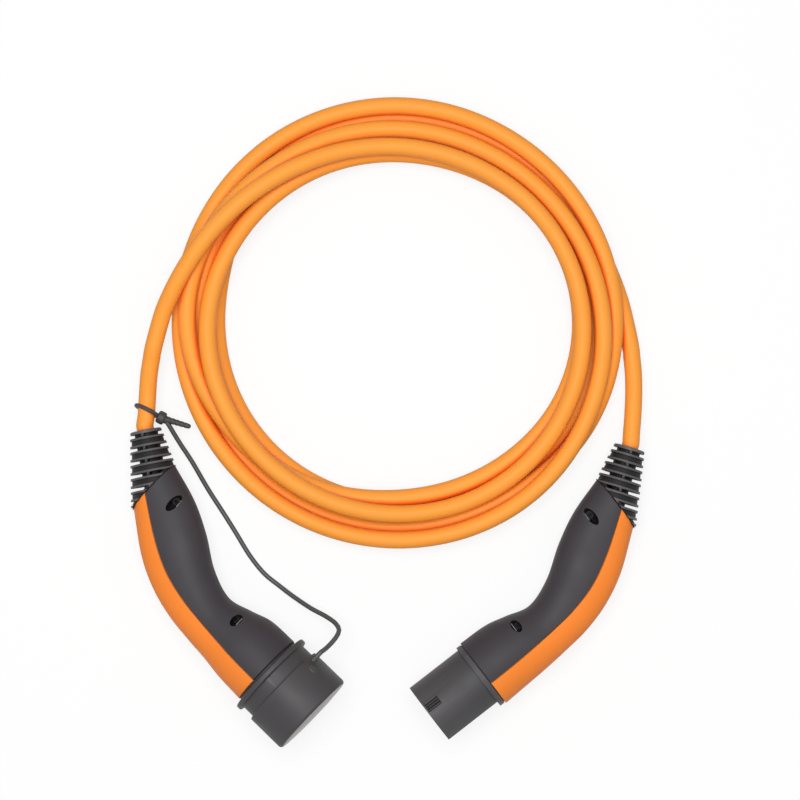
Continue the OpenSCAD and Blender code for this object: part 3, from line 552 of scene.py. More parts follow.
def finishes():
    """Every finish by its name."""
    look = bpy.context.scene.charging_finish
    made = (
        # Housing: the near-black Hollow colour, at full cavity, is painted shade in seams, gaps and
        # screw wells
        moulded("housing", look.housing, (0.05, 0.0445, 0.052), (0.1, 0.09, 0.1), rough=(0.48, 0.6),
                scale=3000, depth=0.35, specular=0.25, cavity=1.0, hollow=(0.03, 0.025, 0.03)),
        moulded("nose", (0.048, 0.045, 0.048), (0.06, 0.057, 0.06), (0.13, 0.125, 0.13),
                rough=(0.45, 0.58), scale=3000, specular=0.3),
        moulded("insulator", (0.035, 0.033, 0.035), (0.045, 0.043, 0.045), (0.1, 0.1, 0.1),
                rough=(0.5, 0.6), depth=0.15),
        # Painted highlight: a pale grey for the ridge in each screw well, standing in for a glint of
        # light on the well's wall
        moulded("rib", (0.3, 0.28, 0.28), (0.34, 0.32, 0.32), (0.4, 0.38, 0.38), rough=(0.4, 0.5),
                depth=0.05, cavity=0.0),
        # Painted shade: near-black for the insides of the screw wells and of the lock pocket, where
        # shade falls
        moulded("pocket", (0.006, 0.006, 0.007), (0.009, 0.009, 0.01), (0.02, 0.02, 0.02),
                rough=(0.6, 0.7), depth=0.2, specular=0.15),
        # Painted shade: near-black for the channels between the boots' rims and for their core
        moulded("boot_channel_shade", (0.012, 0.011, 0.012), (0.017, 0.016, 0.017), (0.05, 0.05, 0.05),
                rough=(0.5, 0.6), depth=0.15, specular=0.2, cavity=0.9, hollow=(0.1, 0.09, 0.1)),
        # Boot: paler rims at a high Edge amount, partly abrasion and partly a painted highlight; full
        # cavity paints shade in its recesses
        moulded("boot", (0.045, 0.042, 0.044), (0.056, 0.053, 0.055), (0.15, 0.14, 0.15),
                rough=(0.42, 0.55), depth=0.15, specular=0.35, edge_amount=0.8, cavity=1.0,
                hollow=(0.1, 0.09, 0.1)),
        moulded("cap_rubber", (0.044, 0.041, 0.044), (0.058, 0.054, 0.057), (0.12, 0.115, 0.12),
                depth=0.2, specular=0.32),
        # Painted highlight: a pale grey for the cap's end face, as where it catches the light
        moulded("cap_face_highlight", (0.2, 0.2, 0.185), (0.27, 0.27, 0.25), (0.3, 0.3, 0.3), rough=(0.3, 0.42),
                depth=0.1),
        moulded("tether", (0.05, 0.05, 0.05), (0.07, 0.07, 0.07), (0.12, 0.12, 0.12), rough=(0.4, 0.5),
                depth=0.1),
        moulded("strip", look.strip, (1.0, 0.28, 0.045), (1.0, 0.36, 0.1), rough=(0.45, 0.55),
                scale=2000, depth=0.08, edge_amount=0.4, specular=0.14),
        # Sheath: the red-orange Hollow colour is painted shade between the coil's strands, with the
        # redder tone of light bounced between them
        moulded("sheath", look.sheath, (1.0, 0.375, 0.055), (1.0, 0.42, 0.08), rough=(0.45, 0.53),
                scale=1500, depth=0.06, edge_amount=0.0, specular=0.2, cavity=0.9,
                hollow=(0.85, 0.28, 0.12)),
        moulded("contact", (0.74, 0.73, 0.72), (0.66, 0.64, 0.62), (0.85, 0.85, 0.85),
                rough=(0.2, 0.34), depth=0.03, metallic=1.0),
        moulded("screw", (0.012, 0.012, 0.013), (0.018, 0.018, 0.019), (0.04, 0.04, 0.04),
                rough=(0.4, 0.55), depth=0.05, specular=0.06, cavity=1.0, hollow=(0.1, 0.1, 0.1)),
        moulded("seal", (0.015, 0.015, 0.015), (0.02, 0.02, 0.02), (0.05, 0.05, 0.05), rough=(0.8, 0.9),
                depth=0.4),
        moulded("core_insulation", (0.16, 0.06, 0.03), (0.2, 0.08, 0.04), (0.3, 0.15, 0.1),
                rough=(0.4, 0.5), depth=0.05),
        moulded("resistor", (0.5, 0.36, 0.2), (0.55, 0.4, 0.24), (0.7, 0.6, 0.45), rough=(0.25, 0.35),
                depth=0.05),
    )
    return {material.name.removesuffix("_finish"): material for material in made}


# Cable: the radii of its turns as they lie in view, in pixels of the photograph, by the angle in
# degrees around the coil's centre, which falls from the left lead to the right lead. Each run
# starts with its first angle, and its radii are ten degrees apart
TURN_RUNS = (
    (178, 234.5), (170, 222.4, 211.5, 203.4, 195, 188, 183, 179.5, 177, 175, 174),
    (60, 174, 176, 178), (20, 182), (0, 186, 187, 188.5, 190), (-50, 192.4), (-70, 193), (-90, 192),
    (-110, 191.5), (-150, 191.7),
    (-170, 191.3, 190.2, 187.7, 184.3, 180.8, 178.1, 175.5, 172.9, 170.7, 169.2, 167.7, 167.7,
     168.7, 170.9, 174.2, 177.5), (-340, 181.7),
    (-360, 184, 183.8, 183.1, 182, 179.8, 177.4, 176.2, 175.3, 174.8, 175.6, 177.7, 182.1, 187,
     190, 193.5, 198.5, 203.8, 208.5, 211, 212, 209.5, 206, 202, 198.5, 196.5, 195.3, 194.2, 192.6,
     191.7, 191.3, 191.7, 193, 195, 197.6, 200.5, 203, 206, 208.8, 210.8, 213.4, 216.1, 217.8,
     218.4, 218.8), (-810, 217.8), (-870, 216.8), (-900, 217, 216.5, 215.8, 216.2), (-950, 217),
    (-980, 216.5, 216.2, 215.9), (-1020, 215), (-1040, 215.7), (-1060, 217),
    (-1080, 218, 217.7, 218, 216.9), (-1115, 216.1), (-1140, 206), (-1230, 206), (-1260, 199),
    (-1290, 199, 192), (-1320, 184), (-1400, 184),
    (-1420, 187.5, 191.5, 195.5, 198.5, 200, 199.5, 197, 192.5, 188, 185, 183.4), (-1540, 181.3),
    (-1560, 181), (-1640, 180.8, 187, 196.5, 202, 203), (-1700, 203), (-1720, 203),
    (-1740, 204, 205.5, 207.5, 210, 213, 218.5, 229.5),
)
TURNS = [(first - 10 * k, r) for first, *radii in TURN_RUNS for k, r in enumerate(radii)]

# Middle lines of the two leads beside the coil, in millimetres
LEAD_LEFT = ((-202.6, 145, 19.3), (-201.4, 162, 19), (-199.6, 181, 19.5), (-195.4, 202, 21))
LEAD_RIGHT = (
    (204.3, 205, 8), (206.8, 180, 8.3), (206.7, 158, 10.5), (205.8, 143, 13.8), (204.5, 129, 17.5),
)
TURN_STEP = 5
SOFTENING = 8

# The coil's centre, in pixels right of and above the photograph's middle, the camera's place over
# the floor, and the pixels in a millimetre on the floor and at the cable's height
COIL_PIXEL = (-3.0, 78.0)
CAMERA_AT = Vector((10.2, 157.6, 2000.0))
FLOOR_SCALE = 1.18
CABLE_SCALE = 1.19

# How the cable settles on the turns below: spacing of the leads' points, how far it may sink into
# its highest neighbour, rounds of easing and lifting, and passes of easing
LEAD_STEP = 12
SINK = 0.6
LIFT_ROUNDS = 3
LIFT_PASSES = 12
LAST_PASSES = 4

# Spacing of the drawn points, in metres
CABLE_STEP = 0.005
TETHER_STEP = 0.004


def coil_point(angle, r, z):
    """The point at height z, in millimetres, that the camera sees at a place of the coil."""
    a = math.radians(angle)
    right, up = COIL_PIXEL[0] + r * math.cos(a), COIL_PIXEL[1] + r * math.sin(a)
    scale = FLOOR_SCALE * CAMERA_AT.z / (CAMERA_AT.z - z)
    return Vector((right / scale + CAMERA_AT.x, up / scale + CAMERA_AT.y, z)) - ORIGIN


def smooth_path(points, step):
    """Smooth path through points, with samples about a step apart."""
    out = []
    for i, (a, b) in enumerate(zip(points, points[1:])):
        leave = (b - points[max(i - 1, 0)]) / 2
        arrive = (points[min(i + 2, len(points) - 1)] - a) / 2
        count = max(1, round((b - a).length / step))
        out += [cubic(a, leave, b, arrive, k / count) for k in range(count)]
    return out + [points[-1]]


def eased(values, passes, kept):
    """Values averaged with their neighbours, pass after pass, but for those kept at each end."""
    for _ in range(passes):
        runs = zip(values[kept - 1:], values[kept:-kept], values[kept + 1:])
        values = values[:kept] + [(a + 2 * b + c) / 4 for a, b, c in runs] + values[-kept:]
    return values


def turn_heights(radii, cable_r):
    """Heights of the turns' points, each resting on the later turns that lie under it."""
    heights = [cable_r] * len(radii)
    per_turn = 360 // TURN_STEP
    for i in range(len(radii) - 1, -1, -1):
        for j in range(i + per_turn, len(radii), per_turn):
            for k in range(j - 1, min(j + 2, len(radii))):
                gap = abs(radii[i] - radii[k]) / CABLE_SCALE
                if k > i and gap < 2 * cable_r:
                    lift = math.sqrt((2 * cable_r) ** 2 - gap**2)
                    heights[i] = max(heights[i], heights[k] + lift)
    return heights


def settled(heights):
    """Heights without kinks, that stay close to the highest of their neighbours."""
    lowest = [max(heights[max(i - 1, 0):i + 2]) - SINK for i in range(len(heights))]
    for _ in range(LIFT_ROUNDS):
        heights = eased(heights, LIFT_PASSES, 2)
        heights[2:-2] = [max(pair) for pair in zip(heights[2:-2], lowest[2:-2])]
    return eased(heights, LAST_PASSES, 2)


def cable_points(cable_r):
    """Centreline of the whole cable from the station boot to the vehicle boot, in millimetres."""
    angles = range(TURNS[0][0], TURNS[-1][0] - 1, -TURN_STEP)
    radii = eased([table_value(TURNS, a) for a in angles], SOFTENING, 1)
    exits = [[h.boot_point(BOOT_LEN + s) / MM for s in (0, 4)] for h in HANDLES]
    left = smooth_path(exits[0] + [Vector(p) - ORIGIN for p in LEAD_LEFT], LEAD_STEP)
    right = smooth_path([Vector(p) - ORIGIN for p in LEAD_RIGHT] + exits[1][::-1], LEAD_STEP)
    heights = [p.z for p in left] + turn_heights(radii, cable_r) + [p.z for p in right]
    z = iter(settled(heights))
    points = [Vector((p.x, p.y, next(z))) for p in left]
    points += [coil_point(angle, r, next(z)) for angle, r in zip(angles, radii)]
    points += [Vector((p.x, p.y, next(z))) for p in right]
    return points


class CableSettings(bpy.types.PropertyGroup):
    """Sizes of the cable and its tether, and the cable's roundness."""

    diameter: FloatProperty(
        name="Cable diameter", description="Outer diameter of the charging cable", default=0.0146,
        min=0.01, max=0.02, subtype="DISTANCE", unit="LENGTH",
    )
    tether: FloatProperty(
        name="Tether diameter", description="Diameter of the dust cap's tether", default=0.004,
        min=0.002, max=0.006, subtype="DISTANCE", unit="LENGTH",
    )
    bevel_steps: IntProperty(
        name="Roundness", description="Bevel resolution of the cable", default=7, min=2, max=12,
    )


class HandleSettings(bpy.types.PropertyGroup):
    """Fineness of the handle shells."""

    rings: IntProperty(
        name="Rings", description="Sections along each shell", default=110, min=20, max=200,
    )
    around: IntProperty(
        name="Around", description="Steps around each shell", default=40, min=8, max=80,
    )
    groove: FloatProperty(
        name="Groove", description="Depth of the groove between the pieces, in millimetres",
        default=0.9, min=0.0, max=1.5,
    )


class FinishSettings(bpy.types.PropertyGroup):
    """Main colours."""

    housing: FloatVectorProperty(
        name="Housing", description="Colour of the black housings", default=(0.036, 0.032, 0.037),
        size=3, subtype="COLOR", min=0, max=1,
    )
    strip: FloatVectorProperty(
        name="Strip", description="Colour of the back strips", default=(1.0, 0.26, 0.035), size=3,
        subtype="COLOR", min=0, max=1,
    )
    sheath: FloatVectorProperty(
        name="Sheath", description="Colour of the cable's sheath", default=(1.0, 0.345, 0.042), size=3,
        subtype="COLOR", min=0, max=1,
    )


class StageSettings(bpy.types.PropertyGroup):
    """Light and camera."""

    lens: FloatProperty(
        name="Lens", description="Focal length of the camera, in millimetres", default=106.2, min=20,
        max=200,
    )
    key: FloatProperty(
        name="Key light", description="Power of the large soft light above, in watts", default=33.0,
        min=0, max=500,
    )
    ambient: FloatProperty(
        name="Ambient", description="Strength of the light from straight above", default=0.5, min=0,
        max=3,
    )
    horizon: FloatProperty(
        name="Horizon", description="Strength of the light from the sides", default=0.08, min=0, max=3,
    )
    floor_shadow: FloatProperty(
        name="Floor shading", description="Share of the floor's own shading in view", default=0.2,
        min=0, max=1,
    )


class CHARGING_OT_cable(bpy.types.Operator):
    """Build the charging cable from boot to boot"""

    bl_idname = "charging.cable"
    bl_label = "Cable"

    def execute(self, context):
        settings = context.scene.charging_cable
        points = [p * MM for p in cable_points(settings.diameter / MM / 2)]
        curve = bpy.data.curves.new("charging_cable", "CURVE")
        curve.dimensions = "3D"
        curve.bevel_depth = settings.diameter / 2
        curve.bevel_resolution = settings.bevel_steps
        spline = curve.splines.new("POLY")
        dense = smooth_path(points, CABLE_STEP)
        spline.points.add(len(dense) - 1)
        for target, p in zip(spline.points, dense):
            target.co = (*p, 1)
        spline.use_smooth = True
        obj = new_object("charging_cable", curve)
        finish_piece(obj, ROOT, finishes()["sheath"], "sheath",
                     "cable_lead_left", "cable_coil", "cable_lead_right")
        return {"FINISHED"}


# Tether from the cap's stub to the strap, and the strap's loop, knob and barbed tail
TETHER_MIDDLE = (
    (-50.2, -47.2, 47), (-43.2, -39.8, 41.5), (-40.5, -33.9, 36), (-43.7, -28.7, 30.5),
    (-52, -23.5, 24), (-64.5, -17.5, 17), (-79, -8.8, 8.5), (-92, 0.5, 3.6), (-105, 11, 2.2),
    (-117, 26, 2.2), (-128, 44, 2.2), (-138, 60, 2.2), (-152, 82, 4), (-165, 105, 8),
    (-174.5, 120, 11.5), (-180, 129.5, 15), (-184, 136.6, 17.8), (-187.4, 142, 18.6),
)
STRAP_AT = Vector((-202.0, 148.5, 18.6))
STRAP_TURN = -26.0
STRAP_R = 10.2
STRAP_LEAN = 1.7
BAND_R = 1.75
KNOB_AT = 14.1
TAIL_TURN = 9.0
TAIL_R = 2.1
BARBS = 5
BARB_STEP = 3.9


class CHARGING_OT_tether(bpy.types.Operator):
    """Build the dust cap's tether and the strap that holds it to the cable"""

    bl_idname = "charging.tether"
    bl_label = "Tether and strap"

    def execute(self, context):
        settings = context.scene.charging_cable
        x, y, z = STUB_END
        points = [STATION.at(x, y + rise, z) for rise in (-1.5, 0, 5)]
        points += [(Vector(p) - ORIGIN) * MM for p in TETHER_MIDDLE]
        path = smooth_path(points, TETHER_STEP)
        mesh = tube_mesh("cap_tether_cord", path, settings.tether / 2, 20)
        obj = new_object("cap_tether_cord", mesh)
        smooth(obj, CORD_CREASE)
        finish_piece(obj, None, finishes()["tether"], "cap_rubber", "cap_tether")
        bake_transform(obj)

        strap = new_object("cap_strap", strap_mesh())
        smooth(strap, CORD_CREASE)
        finish_piece(strap, ROOT, finishes()["cap_rubber"], "cap_rubber", "tether_strap")
        return {"FINISHED"}


def strap_mesh():
    """Loop round the cable, the knob that closes it and its barbed tail."""
    loop = [
        Vector((STRAP_R * math.cos(a), STRAP_LEAN * math.sin(a), STRAP_R * math.sin(a)))
        for a in shares(0, 2 * math.pi, 48)
    ]
    band = tube_mesh("strap_loop", loop, BAND_R, 12)
    profile = [(-4.5, 0)] + arc(-2.6, 3.6, 1.9, 180, 90) + arc(0.6, 3.6, 1.9, 90, 20) + [(2.2, 3.3)]
    profile += arc(3.6, 2.6, 0.8, 90, 0) + [(4.4, 0)]
    knob = spun_mesh("strap_knob", profile, 32)
    profile = [(0, 0), (0, 2.3)]
    for k in range(BARBS):
        x, r = 4 + k * BARB_STEP, 2.9 - k * 0.12
        profile += [(x, r - 0.5), (x + 0.3, r), (x + 3.2, r - 0.4)]
    profile += arc(4 + BARBS * BARB_STEP - 0.6, 0, TAIL_R, 80, 0)
    tail = spun_mesh("strap_tail", profile, 24)
    at_knob = Matrix.Translation((KNOB_AT, 0, 0))
    knob.transform(at_knob)
    tail.transform(at_knob @ Matrix.Rotation(math.radians(TAIL_TURN), 4, "Z"))
    mesh = joined("cap_strap", [band, knob, tail])
    place = Matrix.Translation(STRAP_AT - ORIGIN) @ Matrix.Rotation(math.radians(STRAP_TURN), 4, "Z")
    mesh.transform(Matrix.Scale(MM, 4) @ place)
    return mesh


class CHARGING_OT_shells(bpy.types.Operator):
    """Build the black shells and the orange back strips of both handles"""

    bl_idname = "charging.shells"
    bl_label = "Handle shells"

    def execute(self, context):
        settings = context.scene.charging_handle
        look = finishes()
        for handle in HANDLES:
            for side, wells in (("upper", WELLS), ("lower", ())):
                mesh = shell_mesh(handle, side, wells, settings)
                glint_ribs = joined("glint_ribs", [glint_rib_mesh(handle, well) for well in wells])
                # Faces inside the screw wells are marked 2, for the near-black painted shade
                marks = [1] * len(glint_ribs.polygons) + well_marks(handle, mesh, wells)
                mesh = joined(mesh.name, [glint_ribs, mesh])
                obj = placed(f"{handle.name}_{side}_shell", mesh, handle, CREASE)
                finish_piece(obj, ROOT, look["housing"], "housing", f"{handle.name}_shell_{side}")
                if wells:
                    # Material 1 is the pale painted highlight of the ridges in the screw wells
                    obj.data.materials.append(look["rib"])
                    obj.data.materials.append(look["pocket"])
                    obj.data.polygons.foreach_set("material_index", marks)
            strip = placed(f"{handle.name}_strip", strip_mesh(handle, settings), handle, CREASE)
            finish_piece(strip, ROOT, look["strip"], "strip", f"{handle.name}_back_strip")
        return {"FINISHED"}


def stations(count):
    """Shares of the handle's length, with the inset of the rounded end edges."""
    flat = END_EDGE[-1][0]
    middle = [(f, 0.0) for f in shares(flat, 1 - flat, count)[1:-1]]
    return [*END_EDGE, *middle, *((1 - f, inset) for f, inset in reversed(END_EDGE))]


def shell_mesh(handle, side, wells, settings):
    """One shell of a handle, hollow, with a recess for the back strip and with its screw wells."""
    sign = 1 if side == "upper" else -1
    recess = STRIP_T + FIT
    rings = []
    for f, inset in stations(settings.rings):
        s = handle.section(f)
        groove = inset + settings.groove
        front = shares(SPLIT_ANGLE, s.edge - GROOVE_ANGLE, settings.around)
        back = shares(s.edge, math.pi, settings.around // 2)
        outer = [(0.0, groove), *((a, inset) for a in front), (s.edge, groove)]
        outer += [(a, recess) for a in back]
        inner = [(a, SHELL_WALL) for a in (0.0, *front, s.edge)]
        inner += [(a, recess + BACK_WALL) for a in back]
        ring = [skin(s, a, depth) for a, depth in outer + inner[::-1]]
        rings.append([(x, y, sign * z) for x, y, z in ring])
    mesh = lofted(f"{handle.name}_{side}_shell", rings)
    for well in wells:
        mesh = with_well(handle, mesh, well)
    return mesh


def with_well(handle, mesh, well):
    """The upper shell with a closed pocket and a screw's seat let into a boss and a post."""
    x, y = screw_at(handle, well)
    place = well_place(handle, well)
    middle = place.to_translation()
    boss_size = (WELL_R + BOSS_WALL, well.half_length + BOSS_END_WALL, WELL_DEPTH + BOSS_END_WALL)
    body = pocket_mesh(place, *boss_size)
    boss = combined(body, [inner_core(handle, (middle.x - SHELL_X) / HANDLE_LEN)], "INTERSECT")
    post = cylinder_mesh("post", (x, y, POST_FOOT), (0, 0, 1), POST_LEN, WELL_R + BOSS_WALL)
    mesh = combined(mesh, [boss, post], "UNION")
    pocket = pocket_mesh(place, WELL_R, well.half_length, WELL_DEPTH)
    seat_len = middle.z - SEAT_UNDER_SKIN - SEAT_FOOT
    seat = cylinder_mesh("seat", (x, y, SEAT_FOOT), (0, 0, 1), seat_len, WELL_R)
    return combined(mesh, [pocket, seat], "DIFFERENCE")


def screw_at(handle, well):
    """Place of a well's screw in the plane between the shells."""
    s = handle.section(well.share)
    return s.x, s.middle + WELL_ACROSS * s.half


def well_place(handle, well):
    """Frame on the skin at a screw well, whose Y runs along the skin across the handle."""
    x, y = (at + shift for at, shift in zip(screw_at(handle, well), well.shift))
    z, reach = handle.skin_z(x, y), 3
    slope = (z - handle.skin_z(x, y - reach)) / reach
    return Matrix.Translation((x, y, z)) @ Matrix.Rotation(math.atan(slope), 4, "X")


def pocket_mesh(place, *half_sizes):
    """Almond-shaped pocket: a stretched ball."""
    bm = bmesh.new()
    bmesh.ops.create_uvsphere(bm, u_segments=48, v_segments=24, radius=1)
    mesh = bpy.data.meshes.new("pocket")
    bm.to_mesh(mesh)
    bm.free()
    mesh.transform(place @ Matrix.Diagonal((*half_sizes, 1)))
    return mesh


def well_marks(handle, mesh, wells):
    """2 for each face that lies in a screw well, seen from above, which takes painted shade, and 0 for
    the others.
    """
    marks = [0] * len(mesh.polygons)
    for well in wells:
        to_well = well_place(handle, well).inverted()
        for i, face in enumerate(mesh.polygons):
            x, y, z = to_well @ face.center
            if (x / WELL_R) ** 2 + (y / well.half_length) ** 2 < 1 and z < -WELL_LIP:
                marks[i] = 2
    return marks


def glint_rib_mesh(handle, well):
    """Thin pale ridge down the wall of a screw well, on the side of the nose; its pale colour is a
    painted highlight, the glint of light on the well's wall.
    """
    place = well_place(handle, well)
    room = 1 - (well.rib_off / WELL_R) ** 2
    points = []
    for y in shares(0, RIB_REACH * well.half_length * math.sqrt(room), 12):
        z = -WELL_DEPTH * math.sqrt(room - (y / well.half_length) ** 2)
        points.append(place @ Vector((-well.rib_off, y, z)))
    return tube_mesh("rib", points, RIB_R, 10)


def inner_core(handle, middle):
    """Inside of the upper shell about one place, which trims a boss to the skin."""
    rings = []
    for f in shares(middle - CORE_SPAN, middle + CORE_SPAN, 12):
        s = handle.section(f)
        upper = [skin(s, a, CORE_INSET) for a in shares(0, s.edge, 40)]
        rings.append(upper + [(x, y, CORE_FOOT) for x, y, _ in reversed(upper)])
    return lofted("inner_core", rings)


def strip_mesh(handle, settings):
    """Back strip of a handle, seated in the recess of both shells."""
    rings = []
    for f, inset in stations(settings.rings):
        s = handle.section(f)
        start, end = s.edge + STRIP_GAP, 2 * math.pi - s.edge - STRIP_GAP
        groove = inset + settings.groove
        angles = shares(start + GROOVE_ANGLE, end - GROOVE_ANGLE, 2 * settings.around)
        ring = [(start, groove), *((a, inset) for a in angles), (end, groove)]
        ring += [(a, STRIP_T) for a in (end, *reversed(angles), start)]
        rings.append([skin(s, a, depth) for a, depth in ring])
    return lofted(f"{handle.name}_strip", rings)


FITTING_FINISHES = {
    "boot": "boot", "cord_clamp": "insulator", "clamp_screws": "screw", "shell_screws": "screw",
    "front_seal": "seal", "inner_wires": "core_insulation", "coding_resistor": "resistor",
    "cable_end": "sheath",
}


class CHARGING_OT_fittings(bpy.types.Operator):
    """Dress the noses, boots, cap, contacts and small parts"""

    bl_idname = "charging.fittings"
    bl_label = "Fittings"

    def execute(self, context):
        look = finishes()
        cap = placed("cap_moulding", cap_mesh(), STATION, CAP_CREASE)
        finish_piece(cap, CAP, look["cap_rubber"], "cap_rubber", "dust_cap", "dust_cap_front")
        # The cap's end face takes the paler colour, a painted highlight
        paint_faces(cap, look["cap_face_highlight"], STATION, CAP_FACE_BOX)
        carrier = placed("socket_carrier", carrier_mesh(), VEHICLE, CAP_CREASE)
        finish_piece(carrier, ROOT, look["insulator"], "insulator", "vehicle_socket_carrier")
        dress("station_shroud", look["housing"])
        dress("vehicle_nose", look["nose"])
        dress("station_pin_carrier", look["insulator"])
        for handle in HANDLES:
            for fitting, finish in FITTING_FINISHES.items():
                dress(f"{handle.name}_{fitting}", look[finish])
            paint_channel_shade(handle, look["boot_channel_shade"])
        for contact in CONTACTS:
            dress(f"station_pin_{contact}", look["contact"])
            dress(f"vehicle_socket_{contact}", look["contact"])
        # Painted shade: the faces of the lock pocket take the near-black pocket material
        paint_faces(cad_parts["vehicle_nose"], look["pocket"], VEHICLE, LOCK_BOX)
        return {"FINISHED"}


def paint_faces(obj, material, handle, box):
    """Gives the faces whose middle lies in a box of the handle's frame a second material."""
    obj.data.materials.append(material)
    to_handle = (Matrix.Scale(MM, 4) @ handle.matrix).inverted()
    for face in obj.data.polygons:
        at = to_handle @ (obj.matrix_world @ face.center)
        if all(lo <= v <= hi for v, lo, hi in zip(at, *box)):
            face.material_index = 1


def paint_channel_shade(handle, material):
    """Gives the core of a boot and the channels between its rims a second, darker material: painted
    shade in the recesses.
    """
    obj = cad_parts[f"{handle.name}_boot"]
    obj.data.materials.append(material)
    start = handle.boot_point(0)
    way = (handle.boot_point(1) - start).normalized()
    for face in obj.data.polygons:
        at = obj.matrix_world @ face.center - start
        s = at.dot(way)
        rim_r = BOOT_END_R + BOOT_TAPER * (BOOT_LEN - s / MM)
        lean = abs((obj.matrix_world.to_3x3() @ face.normal).dot(way))
        if lean < CHANNEL_LEAN and (at - way * s).length / MM < rim_r - CHANNEL_DEPTH:
            face.material_index = 1


def cap_mesh():
    """Rubber cap in one moulding, with its rim, its thick front, the tether's stub and a blank oval."""
    profile = [(CAP_FRONT_X - rise, r) for r, rise in CAP_CROWN]
    profile += arc(CAP_FRONT_X + CAP_EDGE, CAP_FRONT_R - CAP_EDGE, CAP_EDGE, 180, 90, 9)
    edge = CAP_STEP_EDGE
    profile += arc(CAP_STEP_X - edge, CAP_FRONT_R - edge, edge, 90, 0)
    profile += arc(CAP_STEP_X + edge, CAP_THIN_R + edge, edge, 180, 270)
    profile += arc(CAP_RIM_X - edge, CAP_THIN_R + edge, edge, 270, 360)
    edge = CAP_RIM_EDGE
    profile += arc(CAP_RIM_X + edge, CAP_RIM_R - edge, edge, 180, 90)
    profile += arc(CAP_REAR_X - edge, CAP_RIM_R - edge, edge, 90, 0)
    profile += [(CAP_REAR_X, CAP_INNER_R + 0.3), (CAP_REAR_X - 0.3, CAP_INNER_R)]
    profile += [(CAP_FLOOR_X + 1, CAP_INNER_R), (CAP_FLOOR_X, CAP_INNER_R - 1), (CAP_FLOOR_X, 0)]
    x, y, z = STUB_END
    stub = cylinder_mesh("stub", (x, STUB_FOOT, z), (0, 1, 0), y - STUB_FOOT, STUB_R[0], 32, STUB_R[1])
    oval = cylinder_mesh("oval", (0, 0, 0), (0, 0, 1), OVAL_T, OVAL_R[0], 40, OVAL_R[1])
    lean = math.radians(OVAL_LEAN)
    at = (
        CAP_STEP_X - OVAL_FROM_STEP,
        CAP_FRONT_R * math.sin(lean),
        CAP_FRONT_R * math.cos(lean) - OVAL_SINK,
    )
    turn = Matrix.Rotation(-lean, 4, "X") @ Matrix.Diagonal((OVAL_STRETCH, 1, 1, 1))
    oval.transform(Matrix.Translation(at) @ turn)
    return joined("cap_moulding", [spun_mesh("cap", profile, 160), stub, oval])


def carrier_mesh():
    """Socket carrier in one block, with a hole, a sleeve's bore and a funnel for each contact."""
    front, rear = CARRIER_X
    cuts = []
    for y, z, r in CONTACTS.values():
        drills = (
            ("hole", front - 1, rear - front + 2, r + HOLE_GAP, None),
            ("bore", front + CARRIER_FACE_T, 60, r + SLEEVE_WALL + SLEEVE_GAP, None),
            ("funnel", front - 0.01, FUNNEL_LEN, r + FUNNEL_GAPS[0], r + FUNNEL_GAPS[1]),
        )
        for name, x, length, radius, end_radius in drills:
            cuts.append(cylinder_mesh(name, (x, y, z), (1, 0, 0), length, radius, 48, end_radius))
    x0, y0, z0 = (v - LOCK_PAD for v in LOCK_BOX[0])
    x1, y1, z1 = (v + LOCK_PAD for v in LOCK_BOX[1])
    corners = ((y0, z0), (y1, z0), (y1, z1), (y0, z1))
    cuts.append(stacked("lock_pocket", [[(x, y, z) for y, z in corners] for x in (x0, x1)]))
    rings = [circle_at(x, CARRIER_R, 128) for x in CARRIER_X]
    for p in rings[0] + rings[1]:
        p.y = max(-CARRIER_FLAT, p.y)
    return combined(stacked("carrier", rings), cuts, "DIFFERENCE")


# Stage, in metres but for the sensor
SENSOR_WIDTH = 36.0
VIEW_END = 20.0
FLOOR_HALF = 8
LIGHT_AT = Vector((-0.1, 0.3, 2.1))
LIGHT_TARGET = Vector((0.0, 0.15, 0.0))
LIGHT_SIZE = 1.3


class CHARGING_OT_stage(bpy.types.Operator):
    """Set the floor, the light and the camera"""

    bl_idname = "charging.stage"
    bl_label = "Stage"

    def execute(self, context):
        settings = context.scene.charging_stage
        scene = context.scene
        camera_data = bpy.data.cameras.new("camera")
        camera_data.lens = settings.lens
        camera_data.sensor_width = SENSOR_WIDTH
        camera_data.clip_end = VIEW_END
        scene.camera = new_object("camera", camera_data)
        scene.camera.location = (CAMERA_AT - ORIGIN) * MM

        corners = [(x * FLOOR_HALF, y * FLOOR_HALF, 0) for x, y in ((-1, -1), (1, -1), (1, 1), (-1, 1))]
        floor = new_object("floor", mesh_of("floor", corners, [(0, 1, 2, 3)]))
        coat(floor, floor_paint(settings.floor_shadow))

        scene.world = studio_world(settings.ambient, settings.horizon)
        key_light(settings.key)
        scene.view_settings.view_transform = "Standard"
        scene.view_settings.look = "None"
        return {"FINISHED"}


def seen_directly(tree):
    """1 for camera, glossy and transmission rays, which all show the same background."""
    rays = add_node(tree, "LightPath").outputs
    either = computed(tree, "MAXIMUM", rays["Is Camera Ray"], rays["Is Glossy Ray"])
    return computed(tree, "MAXIMUM", either, rays["Is Transmission Ray"])


